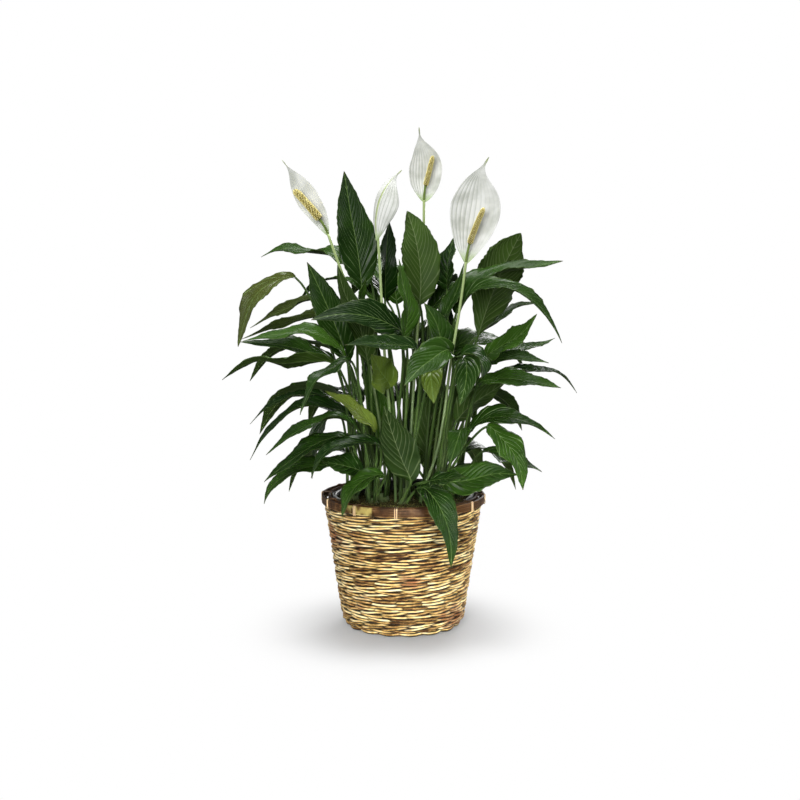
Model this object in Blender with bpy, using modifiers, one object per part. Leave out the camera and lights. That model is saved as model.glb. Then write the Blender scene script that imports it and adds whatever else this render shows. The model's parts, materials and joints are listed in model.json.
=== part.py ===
"""A potted peace lily in a woven basket, in metres, +Z up.

The origin is the middle of the basket's underside. The front is seen along +Y, with +X to the right.
"""
import copy
import math
import random

import bmesh
import bpy
from mathutils import Matrix, Vector
from mathutils.bvhtree import BVHTree

# Driving dimensions of the basket and of what stands in it.
GAP = 0.0003
ROUND = 36
MOSS_ROUND = 24
BASKET_HEIGHT = 0.215
RIM_RADIUS = 0.1325
FOOT_RADIUS = 0.095
WALL = 0.005
FOOT_ROUND = 0.016
HOOP_HEIGHT = 0.013
HOOP_THICK = 0.0035
WEAVE_ROWS = 16
WEAVE_RELIEF = 0.0024
BASE_THICK = 0.006
BASE_INSET = 0.014
BINDINGS = 12
FIRST_BINDING = -125
BINDING_WIDTH = 0.005
BINDING_THICK = 0.0012
BINDING_OVERHANG = 0.003
LINER_THICK = 0.0007
LINER_TOP = 0.216
LINER_INSET = 0.0155
LINER_SLACK = 0.0022
POT_LIP_RADIUS = 0.1118
POT_LIP_WIDE = 0.004
POT_LIP_HEIGHT = 0.012
POT_TOP = 0.214
POT_FOOT_RADIUS = 0.080
POT_WALL = 0.0025
SOIL_TOP = 0.190
SOIL_SLACK = 0.001
MOSS_TOP = 0.204
MOSS_EDGE = 0.006
MOSS_BUMP = 0.0022
HOLE_FLOOR = 0.160

# Driving dimensions of the plant.
CROWN_RADIUS = 0.0125
CROWN_TOP = 0.214
HOLE_LOOSE = 1.16
STALK_HOLE_LOOSE = 1.45
PETIOLE_SUNK = 0.013
PETIOLE_FOOT = 0.0029
PETIOLE_TOP = 0.0019
BLADE_THICK = 0.0007
RIB_DEPTH = 0.0015
STALK_RADIUS = 0.0022
SPATHE_THICK = 0.0008
SPATHE_SEAT = 0.004
SPATHE_CLEAR = STALK_RADIUS + SPATHE_THICK / 2 + 2 * GAP
SPADIX_STEM = 0.0016
SPADIX_SHARES = (0.0, 0.15, 0.30, 0.37, 0.50, 0.63, 0.76, 0.88, 0.95, 1.0)

# Where the front view is taken from. Its frame is 800 pixels across, and SIGHT pixels are a slope of 1.
EYE = Vector((-0.005, -2.3, 0.66))
LOOK_DOWN = math.radians(7.25)
SIGHT = 1437.0
FRAME_MIDDLE = 400.0

# Each shoot's crown, across and back from the pot's middle.
CROWNS = {
    "front": (0.000, -0.074),
    "front_left": (-0.050, -0.056),
    "front_right": (0.052, -0.056),
    "left": (-0.084, -0.008),
    "right": (0.084, -0.008),
    "mid_left": (-0.034, -0.012),
    "mid_right": (0.036, -0.010),
    "centre": (0.002, 0.032),
    "back_left": (-0.052, 0.048),
    "back_right": (0.054, 0.048),
    "back": (0.000, 0.084),
}

# The leaves that the front view shows. Each row has the shoot, the blade's width in millimetres, the share
# of that width that is seen at the blade's foot and tip (several shares where it twists, None where the blade
# hangs with its upper face up and out), whether the upper face or the underside is seen, how far back the
# blade's points lie in centimetres, and where the midrib is seen, in pixels, foot to tip. A width may come
# with PLAIN_OUTLINE's two numbers for that leaf.
PLAIN_OUTLINE = (0.8, 0.55)
UPPER, UNDER = 1, -1
FRONT_LEAVES = (
    # The tall leaves among the blooms.
    ("back_left", 74, 0.95, 0.95, UPPER, (3, 5), ((362, 290), (357, 248), (350, 210), (344, 171))),
    ("centre", 60, 0.60, 0.55, UPPER, (5, 7), ((385, 300), (386, 260), (389, 218))),
    ("centre", (70, 0.85, 0.25), 0.95, 0.95, UNDER, (0, 0.3, 1.5, 6),
     ((420, 305), (421, 275), (417, 245), (407, 211))),
    ("back_right", 60, 0.55, 0.55, UPPER, (5, 8), ((447, 290), (448, 262), (454, 237))),
    ("back_right", (90, 1.25, 0.2), 0.95, 0.90, UNDER, (2, 6),
     ((478, 336), (489, 302), (502, 270), (521, 233))),
    ("mid_right", (68, 0.8, 0.25), (0.80, 0.60, 0.28, 0.24, 0.50), None, UPPER, (1, 1),
     ((456, 314), (466, 292), (488, 276), (525, 268), (563, 261))),
    ("mid_right", 50, 0.38, 0.36, UPPER, (0, -8),
     ((460, 310), (478, 289), (505, 287), (530, 298), (562, 343))),
    ("mid_left", 48, 0.60, 0.55, UPPER, (-6, -4), ((403, 342), (408, 310), (402, 280), (399, 259))),
    ("back_left", 66, (0.55, 0.50, 0.10, 0.36, 0.30), None, UPPER, (2, 3),
     ((368, 273), (335, 256), (307, 252), (282, 249), (261, 257))),
    ("mid_left", 66, 0.92, 0.90, UPPER, (-2, 0), ((348, 362), (335, 325), (320, 290), (307, 262))),
    ("back_left", (50, 0.85, 0.5), 0.50, 0.62, UPPER, (3, -2),
     ((296, 278), (276, 281), (256, 295), (245, 320), (238, 347))),
    # The leaves of the middle, left to right.
    ("back_left", 50, 0.34, 0.32, UPPER, (4, 8), ((330, 302), (308, 300), (290, 307), (250, 328))),
    ("left", 50, 0.34, 0.32, UPPER, (3, 6), ((338, 322), (316, 317), (296, 321), (242, 339))),
    ("left", 54, 0.38, 0.36, UPPER, (-2, -4),
     ((345, 358), (325, 338), (302, 331), (275, 335), (243, 341))),
    ("mid_left", 56, 0.48, 0.42, UPPER, (-4, -8), ((335, 362), (310, 352), (285, 346), (240, 342))),
    ("left", 56, (0.40, 0.34, 0.40, 0.16, 0.34, 0.30), None, UNDER, (-5, -9),
     ((335, 365), (308, 361), (285, 363), (255, 361), (222, 380))),
    ("front_left", 44, 0.38, 0.36, UPPER, (-10, -20), ((352, 362), (332, 369), (316, 380), (300, 415))),
    ("front", 66, 0.72, 0.72, UPPER, (-7, -15), ((405, 338), (385, 322), (350, 314), (311, 320))),
    ("front", 58, 0.44, 0.42, UPPER, (-9, -19), ((418, 352), (395, 345), (370, 344), (345, 345))),
    ("mid_left", (62, 0.8, 0.7), 0.85, 0.85, UPPER, (-5, -12), ((390, 388), (380, 371), (371, 354))),
    ("back_left", 40, 0.45, 0.40, UPPER, (1, 2), ((357, 322), (360, 300), (366, 279))),
    ("mid_right", 56, 0.80, 0.80, UPPER, (-3, -1), ((441, 362), (437, 325), (424, 303))),
    ("front_right", (62, 0.8, 0.7), 0.85, 0.85, UPPER, (-6, -16), ((452, 353), (428, 362), (404, 386))),
    ("front_right", 50, None, None, UPPER, (-7, -9.5, -12, -13),
     ((450, 364), (451, 361), (447, 382), (438, 408))),
    ("front", 44, None, None, UPPER, (-4, -6, -8, -8.5),
     ((429, 374), (430, 371), (432, 387), (434, 404))),
    ("front_right", 50, 0.45, 0.42, UPPER, (-9, -17), ((460, 357), (471, 354), (482, 363), (481, 379))),
    ("right", 52, 0.28, 0.25, UPPER, (4, 9), ((478, 336), (497, 322), (513, 309), (541, 302))),
    ("right", 58, 0.55, 0.55, UPPER, (-3, -9), ((484, 360), (500, 347), (520, 335), (537, 314))),
    ("back_right", 50, 0.32, 0.30, UPPER, (5, 10), ((490, 355), (515, 349), (535, 346), (555, 338))),
    ("right", 56, 0.42, 0.40, UPPER, (-2, -8), ((472, 370), (488, 362), (515, 358), (549, 363))),
    ("back_right", (44, 0.8, 0.8), 0.25, 0.22, UPPER, (2, 5),
     ((490, 378), (530, 371), (556, 372), (577, 393))),
    ("right", 58, 0.50, 0.46, UPPER, (-4, -10), ((478, 385), (498, 379), (540, 383), (561, 388))),
    ("front_right", 58, 0.75, 0.75, UNDER, (-7, -3), ((456, 422), (472, 404), (490, 392), (507, 381))),
    # The low leaves, left to right.
    ("left", (40, 0.7, 0.85), 0.32, 0.28, UPPER, (2, 3),
     ((332, 398), (310, 396), (288, 397), (268, 407), (250, 424))),
    ("left", (48, 0.7, 0.85), 0.45, 0.24, UPPER, (-3, -4),
     ((352, 418), (330, 408), (305, 406), (275, 424), (250, 460))),
    ("front_left", 48, 0.50, 0.50, UPPER, (-8, -14), ((376, 432), (360, 415), (345, 403), (325, 391))),
    ("front_left", (48, 0.95, 0.6), (0.30, 0.22, 0.40, 0.42), None, UPPER, (-7, -11),
     ((358, 430), (340, 418), (314, 423), (290, 436), (266, 455))),
    ("left", 48, 0.38, 0.36, UPPER, (-1, -2), ((338, 412), (322, 424), (316, 450), (312, 479))),
    ("front_left", 54, 0.48, 0.46, UPPER, (-8, -13), ((348, 438), (325, 440), (300, 454), (264, 482))),
    ("left", 54, 0.50, 0.46, UPPER, (-2, -5),
     ((345, 466), (320, 466), (295, 471), (272, 487), (264, 504))),
    ("front_left", 52, 0.42, 0.40, UPPER, (-9, -14), ((380, 446), (355, 443), (330, 449), (311, 478))),
    ("front_left", 54, 0.72, 0.72, UPPER, (-10, -13), ((363, 474), (345, 466), (322, 462))),
    ("front_left", 50, 0.55, 0.55, UPPER, (-9, -15.5), ((384, 476), (366, 479), (350, 494), (342, 517))),
    ("front", 66, 0.94, 0.94, UNDER, (-11, -11), ((411, 482), (403, 462), (393, 435), (384, 406))),
    ("front", 54, 0.80, 0.80, UPPER, (-9, -13.5, -16, -16),
     ((417, 489), (433, 497), (447, 525), (451, 568))),
    ("front_right", 50, 0.45, 0.45, UPPER, (-10, -16), ((428, 482), (445, 479), (465, 477))),
    ("front_right", 40, None, None, UPPER, (-8, -10.5, -13, -13.5),
     ((460, 434), (461, 430), (455, 448), (449, 467))),
    ("right", (58, 0.75, 0.8), 0.48, 0.44, UPPER, (-4, -9),
     ((466, 436), (484, 420), (504, 417), (532, 424), (555, 439))),
    ("front_right", 56, 0.72, 0.72, UPPER, (-8, -13), ((486, 427), (503, 440), (516, 458), (523, 490))),
    ("front_right", 62, 0.88, 0.80, UPPER, (-8, -11), ((442, 486), (470, 480), (495, 474), (518, 475))),
    ("right", 44, 0.42, 0.40, UPPER, (-2, -5), ((450, 474), (468, 470), (500, 479))),
    ("right", 48, 0.40, 0.40, UPPER, (0, -2), ((482, 452), (508, 461), (525, 464), (542, 472))),
)

# The leaves behind those, by tiers: the height of the blade's foot, its distance from the pot's axis, the
# blade's length and width, how far it falls towards its tip, how wide it spreads, how many there are, and
# the first and last heading, in degrees from +X towards +Y.
BACK_TIERS = (
    (0.275, 0.100, 0.160, 0.056, 0.62, 1.0, 6, 38, 142),
    (0.345, 0.105, 0.175, 0.060, 0.45, 1.0, 6, 34, 146),
    (0.430, 0.085, 0.190, 0.064, 0.28, 1.0, 5, 24, 156),
    (0.510, 0.060, 0.195, 0.066, 0.05, 1.0, 4, 30, 150),
    (0.530, 0.040, 0.165, 0.064, -0.45, 0.8, 3, 55, 125),
    (0.300, 0.090, 0.165, 0.068, -1.0, 0.3, 5, 40, 140),
    (0.262, 0.045, 0.150, 0.070, -1.0, 0.3, 5, 40, 140),
    (0.420, 0.060, 0.170, 0.066, -1.0, 0.3, 4, 30, 150),
    (0.370, 0.072, 0.150, 0.072, -1.0, 0.3, 5, 50, 130),
)

# Each bloom: its stalk, its spadix and its spathe's spine as the front view shows them, in pixels from the
# foot up, with how far back they lie in centimetres; then the spadix's and the spathe's widths in
# millimetres, a power that puts the spathe's widest place nearer its foot the smaller it is, the angle that
# the spathe's section bends through, and the way it opens, where that isn't towards the front.
BLOOMS = {
    "bloom_left": {
        "foot": (-0.028, 0.016),
        "stalk": ((368, 360, 2.4), (350, 294, 1.6), (338, 262, 1), (328, 234, 1)),
        "spadix": ((323, 224, 0), (309, 206, -0.5), (294, 190, -1)),
        "spathe": ((319, 217, 1.6), (304, 193, 1.9), (289, 169, 1.4), (282, 160, 0.8)),
        "spadix_wide": 14,
        "spathe_wide": 38,
        "widest": 0.95,
        "curl": 75,
        "opens": None,
    },
    "bloom_small": {
        "foot": (-0.012, -0.036),
        "stalk": ((384, 345, -3.5), (382, 310, -3), (380, 270, -2), (378, 238, -2)),
        "spadix": ((380, 229, -2), (384, 214, -2), (389, 200, -2)),
        "spathe": ((376, 217, -2), (380, 199, -2), (389, 183, -2), (402, 170, -2)),
        "spadix_wide": 8,
        "spathe_wide": 74,
        "widest": 1.0,
        "curl": 155,
        "opens": (0.85, 0.53, 0.0),
    },
    "bloom_top": {
        "foot": (0.010, -0.014),
        "stalk": ((411, 433, -2), (417, 340, 0.5), (423, 260, 5.6), (424, 200, 6.0)),
        "spadix": ((425, 189, 5.6), (429, 172, 5.2), (433, 156, 5.0)),
        "spathe": ((425, 185, 7.2), (425, 160, 7.4), (420, 138, 6.9), (419, 127, 6.5)),
        "spadix_wide": 10,
        "spathe_wide": 56,
        "widest": 0.78,
        "curl": 70,
        "opens": None,
    },
    "bloom_big": {
        "foot": (0.028, -0.044),
        "stalk": ((436, 455, -4.5), (452, 355, -2.2), (461, 300, -1.6), (466, 262, -1.3)),
        "spadix": ((469, 246, -1.7), (476, 226, -2.1), (484, 208, -2.3)),
        "spathe": ((470, 240, 0.1), (476, 205, 0.5), (481, 172, 0.0), (489, 157, -0.6)),
        "spadix_wide": 11,
        "spathe_wide": 82,
        "widest": 1.0,
        "curl": 65,
        "opens": None,
    },
}

BLADE_SHARES = (0.0, 0.10, 0.27, 0.47, 0.67, 0.86, 1.0)
PETIOLE_STEPS = 3


def clear_scene():
    for thing in list(bpy.data.objects):
        bpy.data.objects.remove(thing)


def new_collection(name, shown=True):
    made = bpy.data.collections.new(name)
    bpy.context.scene.collection.children.link(made)
    made.hide_render = not shown
    return made


def finish(name, colour, roughness, specular=0.5):
    """A material of one colour for a sub-part."""
    made = bpy.data.materials.new(name)
    made.use_nodes = True
    shader = made.node_tree.nodes["Principled BSDF"]
    shader.inputs["Base Color"].default_value = (*colour, 1.0)
    shader.inputs["Roughness"].default_value = roughness
    shader.inputs["Specular IOR Level"].default_value = specular
    made.diffuse_color = (*colour, 1.0)
    return made


def add_object(name, mesh, material, collection):
    made = bpy.data.objects.new(name, mesh)
    collection.objects.link(made)
    if material:
        mesh.materials.clear()
        mesh.materials.append(material)
    return made


def baked(source):
    """The object's evaluated mesh, on its own."""
    bpy.context.view_layer.update()
    graph = bpy.context.evaluated_depsgraph_get()
    return bpy.data.meshes.new_from_object(source.evaluated_get(graph))


def turned(name, outline, material, collection, closed=True, steps=ROUND):
    """A body turned from an outline of (radius, height) points that runs down its outer side."""
    mesh = bpy.data.meshes.new(name)
    points = [(radius, 0.0, height) for radius, height in outline]
    edges = [(i, i + 1) for i in range(len(points) - 1)]
    if closed:
        edges.append((len(points) - 1, 0))
    mesh.from_pydata(points, edges, [])
    made = add_object(name, mesh, material, collection)
    screw = made.modifiers.new("turn", "SCREW")
    screw.steps = steps
    screw.render_steps = steps
    screw.use_merge_vertices = True
    screw.merge_threshold = 0.0001
    screw.use_normal_calculate = True
    made.data = baked(made)
    made.modifiers.clear()
    face_outwards(made.data)
    return made


def face_outwards(mesh):
    work = bmesh.new()
    work.from_mesh(mesh)
    bmesh.ops.recalc_face_normals(work, faces=work.faces)
    work.to_mesh(mesh)
    work.free()


def largest_shell(mesh):
    """Keeps the mesh's biggest closed shell, so that neither scraps nor sealed hollows stay."""
    work = bmesh.new()
    work.from_mesh(mesh)
    bmesh.ops.triangulate(work, faces=work.faces)
    left = set(work.faces)
    shells = []
    while left:
        reached = [left.pop()]
        shell = []
        while reached:
            face = reached.pop()
            shell.append(face)
            for edge in face.edges:
                for other in edge.link_faces:
                    if other in left:
                        left.discard(other)
                        reached.append(other)
        shells.append(shell)
    shells.sort(key=len)
    for shell in shells[:-1]:
        bmesh.ops.delete(work, geom=shell, context="FACES")
    loose = [vert for vert in work.verts if not vert.link_faces]
    bmesh.ops.delete(work, geom=loose, context="VERTS")
    bmesh.ops.recalc_face_normals(work, faces=work.faces)
    work.to_mesh(mesh)
    work.free()


def combine(base, others, operation, solver="EXACT"):
    """Joins or cuts the base with a collection's objects, and removes those objects."""
    change = base.modifiers.new("combine", "BOOLEAN")
    change.operand_type = "COLLECTION"
    change.collection = others
    change.operation = operation
    change.solver = solver
    mesh = baked(base)
    base.modifiers.clear()
    base.data = mesh
    largest_shell(mesh)
    for thing in list(others.objects):
        bpy.data.objects.remove(thing)
    bpy.data.collections.remove(others)


def wall_radius(height):
    """The basket's outer radius, which tapers straight from the rim to the rounded foot."""
    top = RIM_RADIUS - HOOP_THICK - GAP
    foot = FOOT_RADIUS + 0.0015
    return foot + (top - foot) * height / BASKET_HEIGHT


def make_basket(collection):
    cane = finish("willow", (0.56, 0.40, 0.18), 0.6)
    band = finish("brown_cane", (0.20, 0.10, 0.05), 0.5)
    lashing = finish("pale_cane", (0.62, 0.45, 0.22), 0.6)
    weave_top = BASKET_HEIGHT - HOOP_HEIGHT - 0.004
    step = (weave_top - FOOT_ROUND) / (WEAVE_ROWS - 1)
    rows = [weave_top - step * i for i in range(WEAVE_ROWS)]
    foot = wall_radius(FOOT_ROUND)
    outline = [(wall_radius(BASKET_HEIGHT), BASKET_HEIGHT)]
    outline += [(wall_radius(height), height) for height in rows]
    outline += [(foot - FOOT_ROUND * 0.28, FOOT_ROUND * 0.28), (foot - FOOT_ROUND * 0.75, 0.0)]
    base_radius = foot - BASE_INSET
    outline += [(base_radius, 0.0), (base_radius, BASE_THICK), (foot - WALL, FOOT_ROUND)]
    outline.append((wall_radius(BASKET_HEIGHT) - WALL, BASKET_HEIGHT))
    wall = turned("basket_wall", outline, cane, collection)
    for vert in wall.data.vertices:
        radius = math.hypot(vert.co.x, vert.co.y)
        row = round((weave_top - vert.co.z) / step)
        if radius < wall_radius(vert.co.z) - WALL / 2 or not 1 <= row <= WEAVE_ROWS - 1:
            continue
        column = round(math.atan2(vert.co.y, vert.co.x) / (2 * math.pi) * ROUND)
        swell = WEAVE_RELIEF if (column + row) % 2 else -WEAVE_RELIEF * 0.4
        vert.co.x *= (radius + swell) / radius
        vert.co.y *= (radius + swell) / radius
    work = bmesh.new()
    work.from_mesh(wall.data)
    bmesh.ops.triangulate(work, faces=work.faces)
    work.to_mesh(wall.data)
    work.free()

    disc = base_radius - GAP
    outline = [(0, BASE_THICK), (disc, BASE_THICK), (disc, 0), (0, 0)]
    turned("basket_base", outline, band, collection, False)

    low = BASKET_HEIGHT - HOOP_HEIGHT
    inner = RIM_RADIUS - HOOP_THICK
    hoop = [(RIM_RADIUS, BASKET_HEIGHT), (RIM_RADIUS, low), (inner, low), (inner, BASKET_HEIGHT)]
    turned("rim_hoop_outer", hoop, band, collection)
    outer = wall_radius(low) - WALL - GAP
    inner = outer - HOOP_THICK
    hoop = [(outer, BASKET_HEIGHT), (outer, low), (inner, low), (inner, BASKET_HEIGHT)]
    turned("rim_hoop_inner", hoop, band, collection)

    flat = math.cos(math.pi / ROUND)
    hug_out = RIM_RADIUS * flat + GAP
    hug_in = inner * flat - GAP
    hug_top = BASKET_HEIGHT + GAP
    drop = low - BINDING_OVERHANG
    for number in range(BINDINGS):
        angle = math.radians(FIRST_BINDING + 360 / BINDINGS * number)
        path = [(hug_out + BINDING_THICK, drop), (hug_out + BINDING_THICK, hug_top + BINDING_THICK)]
        path += [(hug_in - BINDING_THICK, hug_top + BINDING_THICK), (hug_in - BINDING_THICK, drop)]
        path += [(hug_in, drop), (hug_in, hug_top), (hug_out, hug_top), (hug_out, drop)]
        strip = bpy.data.meshes.new(f"rim_binding_{number + 1:02d}")
        work = bmesh.new()
        verts = [work.verts.new((radius, -BINDING_WIDTH / 2, height)) for radius, height in path]
        face = work.faces.new(verts)
        grown = bmesh.ops.extrude_face_region(work, geom=[face])
        moved = [item for item in grown["geom"] if isinstance(item, bmesh.types.BMVert)]
        bmesh.ops.translate(work, verts=moved, vec=(0, BINDING_WIDTH, 0))
        bmesh.ops.recalc_face_normals(work, faces=work.faces)
        work.to_mesh(strip)
        work.free()
        binding = add_object(strip.name, strip, lashing, collection)
        binding.rotation_euler.z = angle
    return inner


def make_pot(collection, liner_top_radius):
    """The liner, the grower's pot and the soil, from the outside in, and the soil's radius at its top."""
    film = finish("liner_film", (0.16, 0.17, 0.17), 0.25)
    plastic = finish("pot_plastic", (0.015, 0.015, 0.016), 0.3)
    earth = finish("potting_soil", (0.06, 0.035, 0.02), 0.95)
    floor = BASE_THICK + GAP
    top_radius = liner_top_radius * math.cos(math.pi / ROUND) - LINER_SLACK
    foot_radius = wall_radius(FOOT_ROUND) - LINER_INSET
    outline = [(0, floor + LINER_THICK), (foot_radius - LINER_THICK, floor + LINER_THICK)]
    outline += [(top_radius - LINER_THICK, LINER_TOP), (top_radius, LINER_TOP)]
    outline += [(foot_radius, floor), (0, floor)]
    liner = turned("plastic_liner", outline, film, collection, False)
    for vert in liner.data.vertices:
        if vert.co.z > BASKET_HEIGHT:
            around = math.atan2(vert.co.y, vert.co.x)
            vert.co.z += 0.0018 * math.sin(3 * around + 0.6) + 0.0012 * math.sin(7 * around)

    floor += LINER_THICK + GAP
    lip_foot = POT_TOP - POT_LIP_HEIGHT
    body_top = POT_LIP_RADIUS - POT_LIP_WIDE
    outline = [(0, floor + POT_WALL), (POT_FOOT_RADIUS - POT_WALL, floor + POT_WALL)]
    outline += [(body_top - POT_WALL, lip_foot), (POT_LIP_RADIUS - 0.003, POT_TOP)]
    outline += [(POT_LIP_RADIUS, POT_TOP - 0.001), (POT_LIP_RADIUS, lip_foot), (body_top, lip_foot)]
    outline += [(POT_FOOT_RADIUS, floor), (0, floor)]
    turned("grower_pot", outline, plastic, collection, False)

    inside = body_top - POT_WALL - SOIL_SLACK
    foot = POT_FOOT_RADIUS - POT_WALL - SOIL_SLACK
    slope = (inside - foot) / (lip_foot - floor - POT_WALL)
    soil_radius = inside - slope * (lip_foot - SOIL_TOP)
    soil_floor = floor + POT_WALL + GAP
    outline = [(0, SOIL_TOP), (soil_radius, SOIL_TOP), (foot, soil_floor), (0, soil_floor)]
    turned("soil", outline, earth, collection, False, MOSS_ROUND)
    return soil_radius


def make_moss(collection, soil_radius):
    """A bumpy mat on the soil, turned in rings and then raised by a formula."""
    green = finish("moss", (0.10, 0.09, 0.03), 0.95)
    low = SOIL_TOP + GAP
    edge = soil_radius - SOIL_SLACK
    outline = [(0, MOSS_TOP)] + [(edge * share, MOSS_TOP) for share in (0.4, 0.8)]
    outline += [(edge, low + MOSS_EDGE), (edge, low), (0, low)]
    moss = turned("moss", outline, green, collection, False, MOSS_ROUND)
    for vert in moss.data.vertices:
        if vert.co.z > low + MOSS_EDGE:
            wave = math.sin(vert.co.x * 95 + 1.0) * math.sin(vert.co.y * 80 + 2.0)
            vert.co.z += MOSS_BUMP * wave - 0.05 * vert.co.xy.length ** 2
    return moss


def cut_holes(thing, places, lowest):
    """Cuts a plain upright hole for each crown and stalk."""
    cutters = new_collection(f"holes_in_{thing.name}", shown=False)
    for number, (across, back, radius) in enumerate(places):
        work = bmesh.new()
        tall = CROWN_TOP - lowest
        bmesh.ops.create_cone(work, segments=6, radius1=radius, radius2=radius, depth=tall, cap_ends=True)
        bmesh.ops.translate(work, verts=work.verts, vec=(across, back, lowest + tall / 2))
        mesh = bpy.data.meshes.new(f"hole_{number}")
        work.to_mesh(mesh)
        work.free()
        cutter = add_object(mesh.name, mesh, None, cutters)
        cutter.display_type = "WIRE"
        cutter.hide_render = True
    combine(thing, cutters, "DIFFERENCE")


def seen_at(across, down, back):
    """The point that the front view shows at pixel (across, down), on the upright plane y = back."""
    right = (across - FRAME_MIDDLE) / SIGHT
    above = (FRAME_MIDDLE - down) / SIGHT
    ray = Vector((right, math.cos(LOOK_DOWN) + above * math.sin(LOOK_DOWN), 0.0))
    ray.z = above * math.cos(LOOK_DOWN) - math.sin(LOOK_DOWN)
    return EYE + ray * ((back - EYE.y) / ray.y)


def cubic(start, end, way_out, way_in, share):
    """The point and the direction at a share of a cubic curve between two points."""
    s = share
    point = start * (2 * s**3 - 3 * s**2 + 1) + way_out * (s**3 - 2 * s**2 + s)
    point += end * (3 * s**2 - 2 * s**3) + way_in * (s**3 - s**2)
    way = start * (6 * s**2 - 6 * s) + way_out * (3 * s**2 - 4 * s + 1)
    way += end * (6 * s - 6 * s**2) + way_in * (3 * s**2 - 2 * s)
    return point, way.normalized()


def along(points, shares, first_way=None):
    """Points and directions at shares of the length of a smooth curve through the points."""
    spans = [(b - a).length for a, b in zip(points, points[1:])]
    ways = [first_way or (points[1] - points[0]).normalized()]
    for i in range(1, len(points) - 1):
        before = (points[i] - points[i - 1]) / spans[i - 1]
        after = (points[i + 1] - points[i]) / spans[i]
        ways.append((before * spans[i] + after * spans[i - 1]).normalized())
    ways.append(((points[-1] - points[-2]) * 1.5 / spans[-1] - ways[-1] * 0.5).normalized())
    found = []
    for share in shares:
        reach = share * sum(spans)
        i = 0
        while i < len(spans) - 1 and reach > spans[i]:
            reach -= spans[i]
            i += 1
        part = min(reach / spans[i], 1.0)
        found.append(cubic(points[i], points[i + 1], ways[i] * spans[i], ways[i + 1] * spans[i], part))
    return found


def carried(normal, old_way, new_way):
    """The normal, turned as little as possible from one direction of a curve to the next."""
    turn = old_way.rotation_difference(new_way)
    moved = turn @ normal
    return (moved - new_way * moved.dot(new_way)).normalized()


class Leaf:
    """One leaf: its shoot, the points of its midrib and how its blade lies."""

    def __init__(self, shoot, width, points, number):
        draw = random.Random(100 + number)
        self.shoot = shoot
        self.width = width
        self.points = points
        self.phase = draw.uniform(0, 2 * math.pi)
        self.waves = draw.uniform(1.6, 2.6)
        self.wave = draw.uniform(0.03, 0.06)
        self.fold = math.radians(draw.uniform(8, 20))
        self.outline = PLAIN_OUTLINE
        self.face = UPPER
        self.seen = None
        self.roll = math.radians(draw.uniform(-18, 18))
        self.push = 0.0
        self.bow = 0.0
        self.turn = 0.0
        self.foot_turn = 0.0

    def nearness(self):
        return sum(point.y for point in self.points) / len(self.points)

    def placed(self, push):
        """The midrib's points, turned round the pot's axis and moved back along the sight lines."""
        spin = Matrix.Rotation(self.turn, 3, "Z")
        return [spin @ point + (point - EYE) * (push / (point.y - EYE.y)) for point in self.points]

    def normals(self, places):
        """The upper face's direction at each place along the midrib."""
        if self.seen is None:
            way = places[0][1]
            outward = Vector((way.x, way.y, 0)).normalized()
            wanted = Vector((0, 0, 1)) - outward * 0.3
            normal = (wanted - way * wanted.dot(way)).normalized()
            normal = Matrix.Rotation(self.roll, 3, way) @ normal
            found = [normal]
            for (_, before), (_, after) in zip(places, places[1:]):
                found.append(carried(found[-1], before, after))
            return found
        middle = self.points[0].x + self.points[-1].x
        travel = self.points[-1].x - self.points[0].x
        side = 1.0 if travel + 0.25 * middle > 0 else -1.0
        found = []
        for i, (point, way) in enumerate(places):
            lean = math.acos(between(self.seen, i / (len(places) - 1)))
            sight = (EYE - point).normalized()
            facing = (sight - way * sight.dot(way)).normalized()
            upward = way.cross(facing) * side * -1.0
            found.append((facing * math.cos(lean) * self.face + upward * math.sin(lean)).normalized())
        return found


def between(values, share):
    """The value at a share of the way through a row of values."""
    reach = share * (len(values) - 1)
    first = min(int(reach), len(values) - 2)
    return values[first] + (values[first + 1] - values[first]) * (reach - first)


def blade_width(leaf, share):
    """The blade's width as a share of its greatest, from its foot to its drip tip."""
    if share >= 1:
        return 0.0
    early, thin = leaf.outline
    return math.sin(math.pi * share**early) ** 0.75 * (1.0 - thin * share**3)


def leaf_rings(leaf, swell=0.0):
    """The leaf's sections, four-sided on the petiole and six-sided on the blade, thickened by swell."""
    points = leaf.placed(leaf.push)
    across, back = CROWNS[leaf.shoot]
    crown = Vector((across, back, CROWN_TOP - PETIOLE_SUNK))
    outward = Vector((points[0].x - across, points[0].y - back, 0))
    reach = outward.length
    outward = outward.normalized()
    foot = crown + Vector((math.cos(leaf.foot_turn), math.sin(leaf.foot_turn), 0)) * CROWN_RADIUS * 0.5
    chord = points[0] - foot
    first = (points[1] - points[0]).normalized()
    joint = (chord.normalized() * 0.55 + first * 0.45).normalized()
    start = (Vector((0, 0, 1)) + outward * min(0.35, reach * 1.2)).normalized()
    sideways = Vector((-chord.y, chord.x, 0)).normalized()

    places = along(points, BLADE_SHARES, joint)
    normals = leaf.normals(places)
    stem = []
    for i in range(PETIOLE_STEPS):
        share = i / PETIOLE_STEPS
        point, way = cubic(foot, points[0], start * chord.length * 0.8, joint * chord.length * 0.45, share)
        stem.append((point + sideways * leaf.bow * 4 * share * (1 - share), way))

    rings = []
    normal = normals[0]
    ahead = places[0][1]
    for i in reversed(range(PETIOLE_STEPS)):
        point, way = stem[i]
        normal = carried(normal, ahead, way)
        ahead = way
        share = i / PETIOLE_STEPS
        radius = PETIOLE_FOOT + (PETIOLE_TOP - PETIOLE_FOOT) * share + swell
        rings.insert(0, petiole_section(point, way, normal, radius))
    rings.append(petiole_section(places[0][0], places[0][1], normals[0], PETIOLE_TOP + swell))
    for share, (point, way), normal in list(zip(BLADE_SHARES, places, normals))[1:]:
        rings.append(blade_section(leaf, share, point, way, normal, swell))
    return rings


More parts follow.
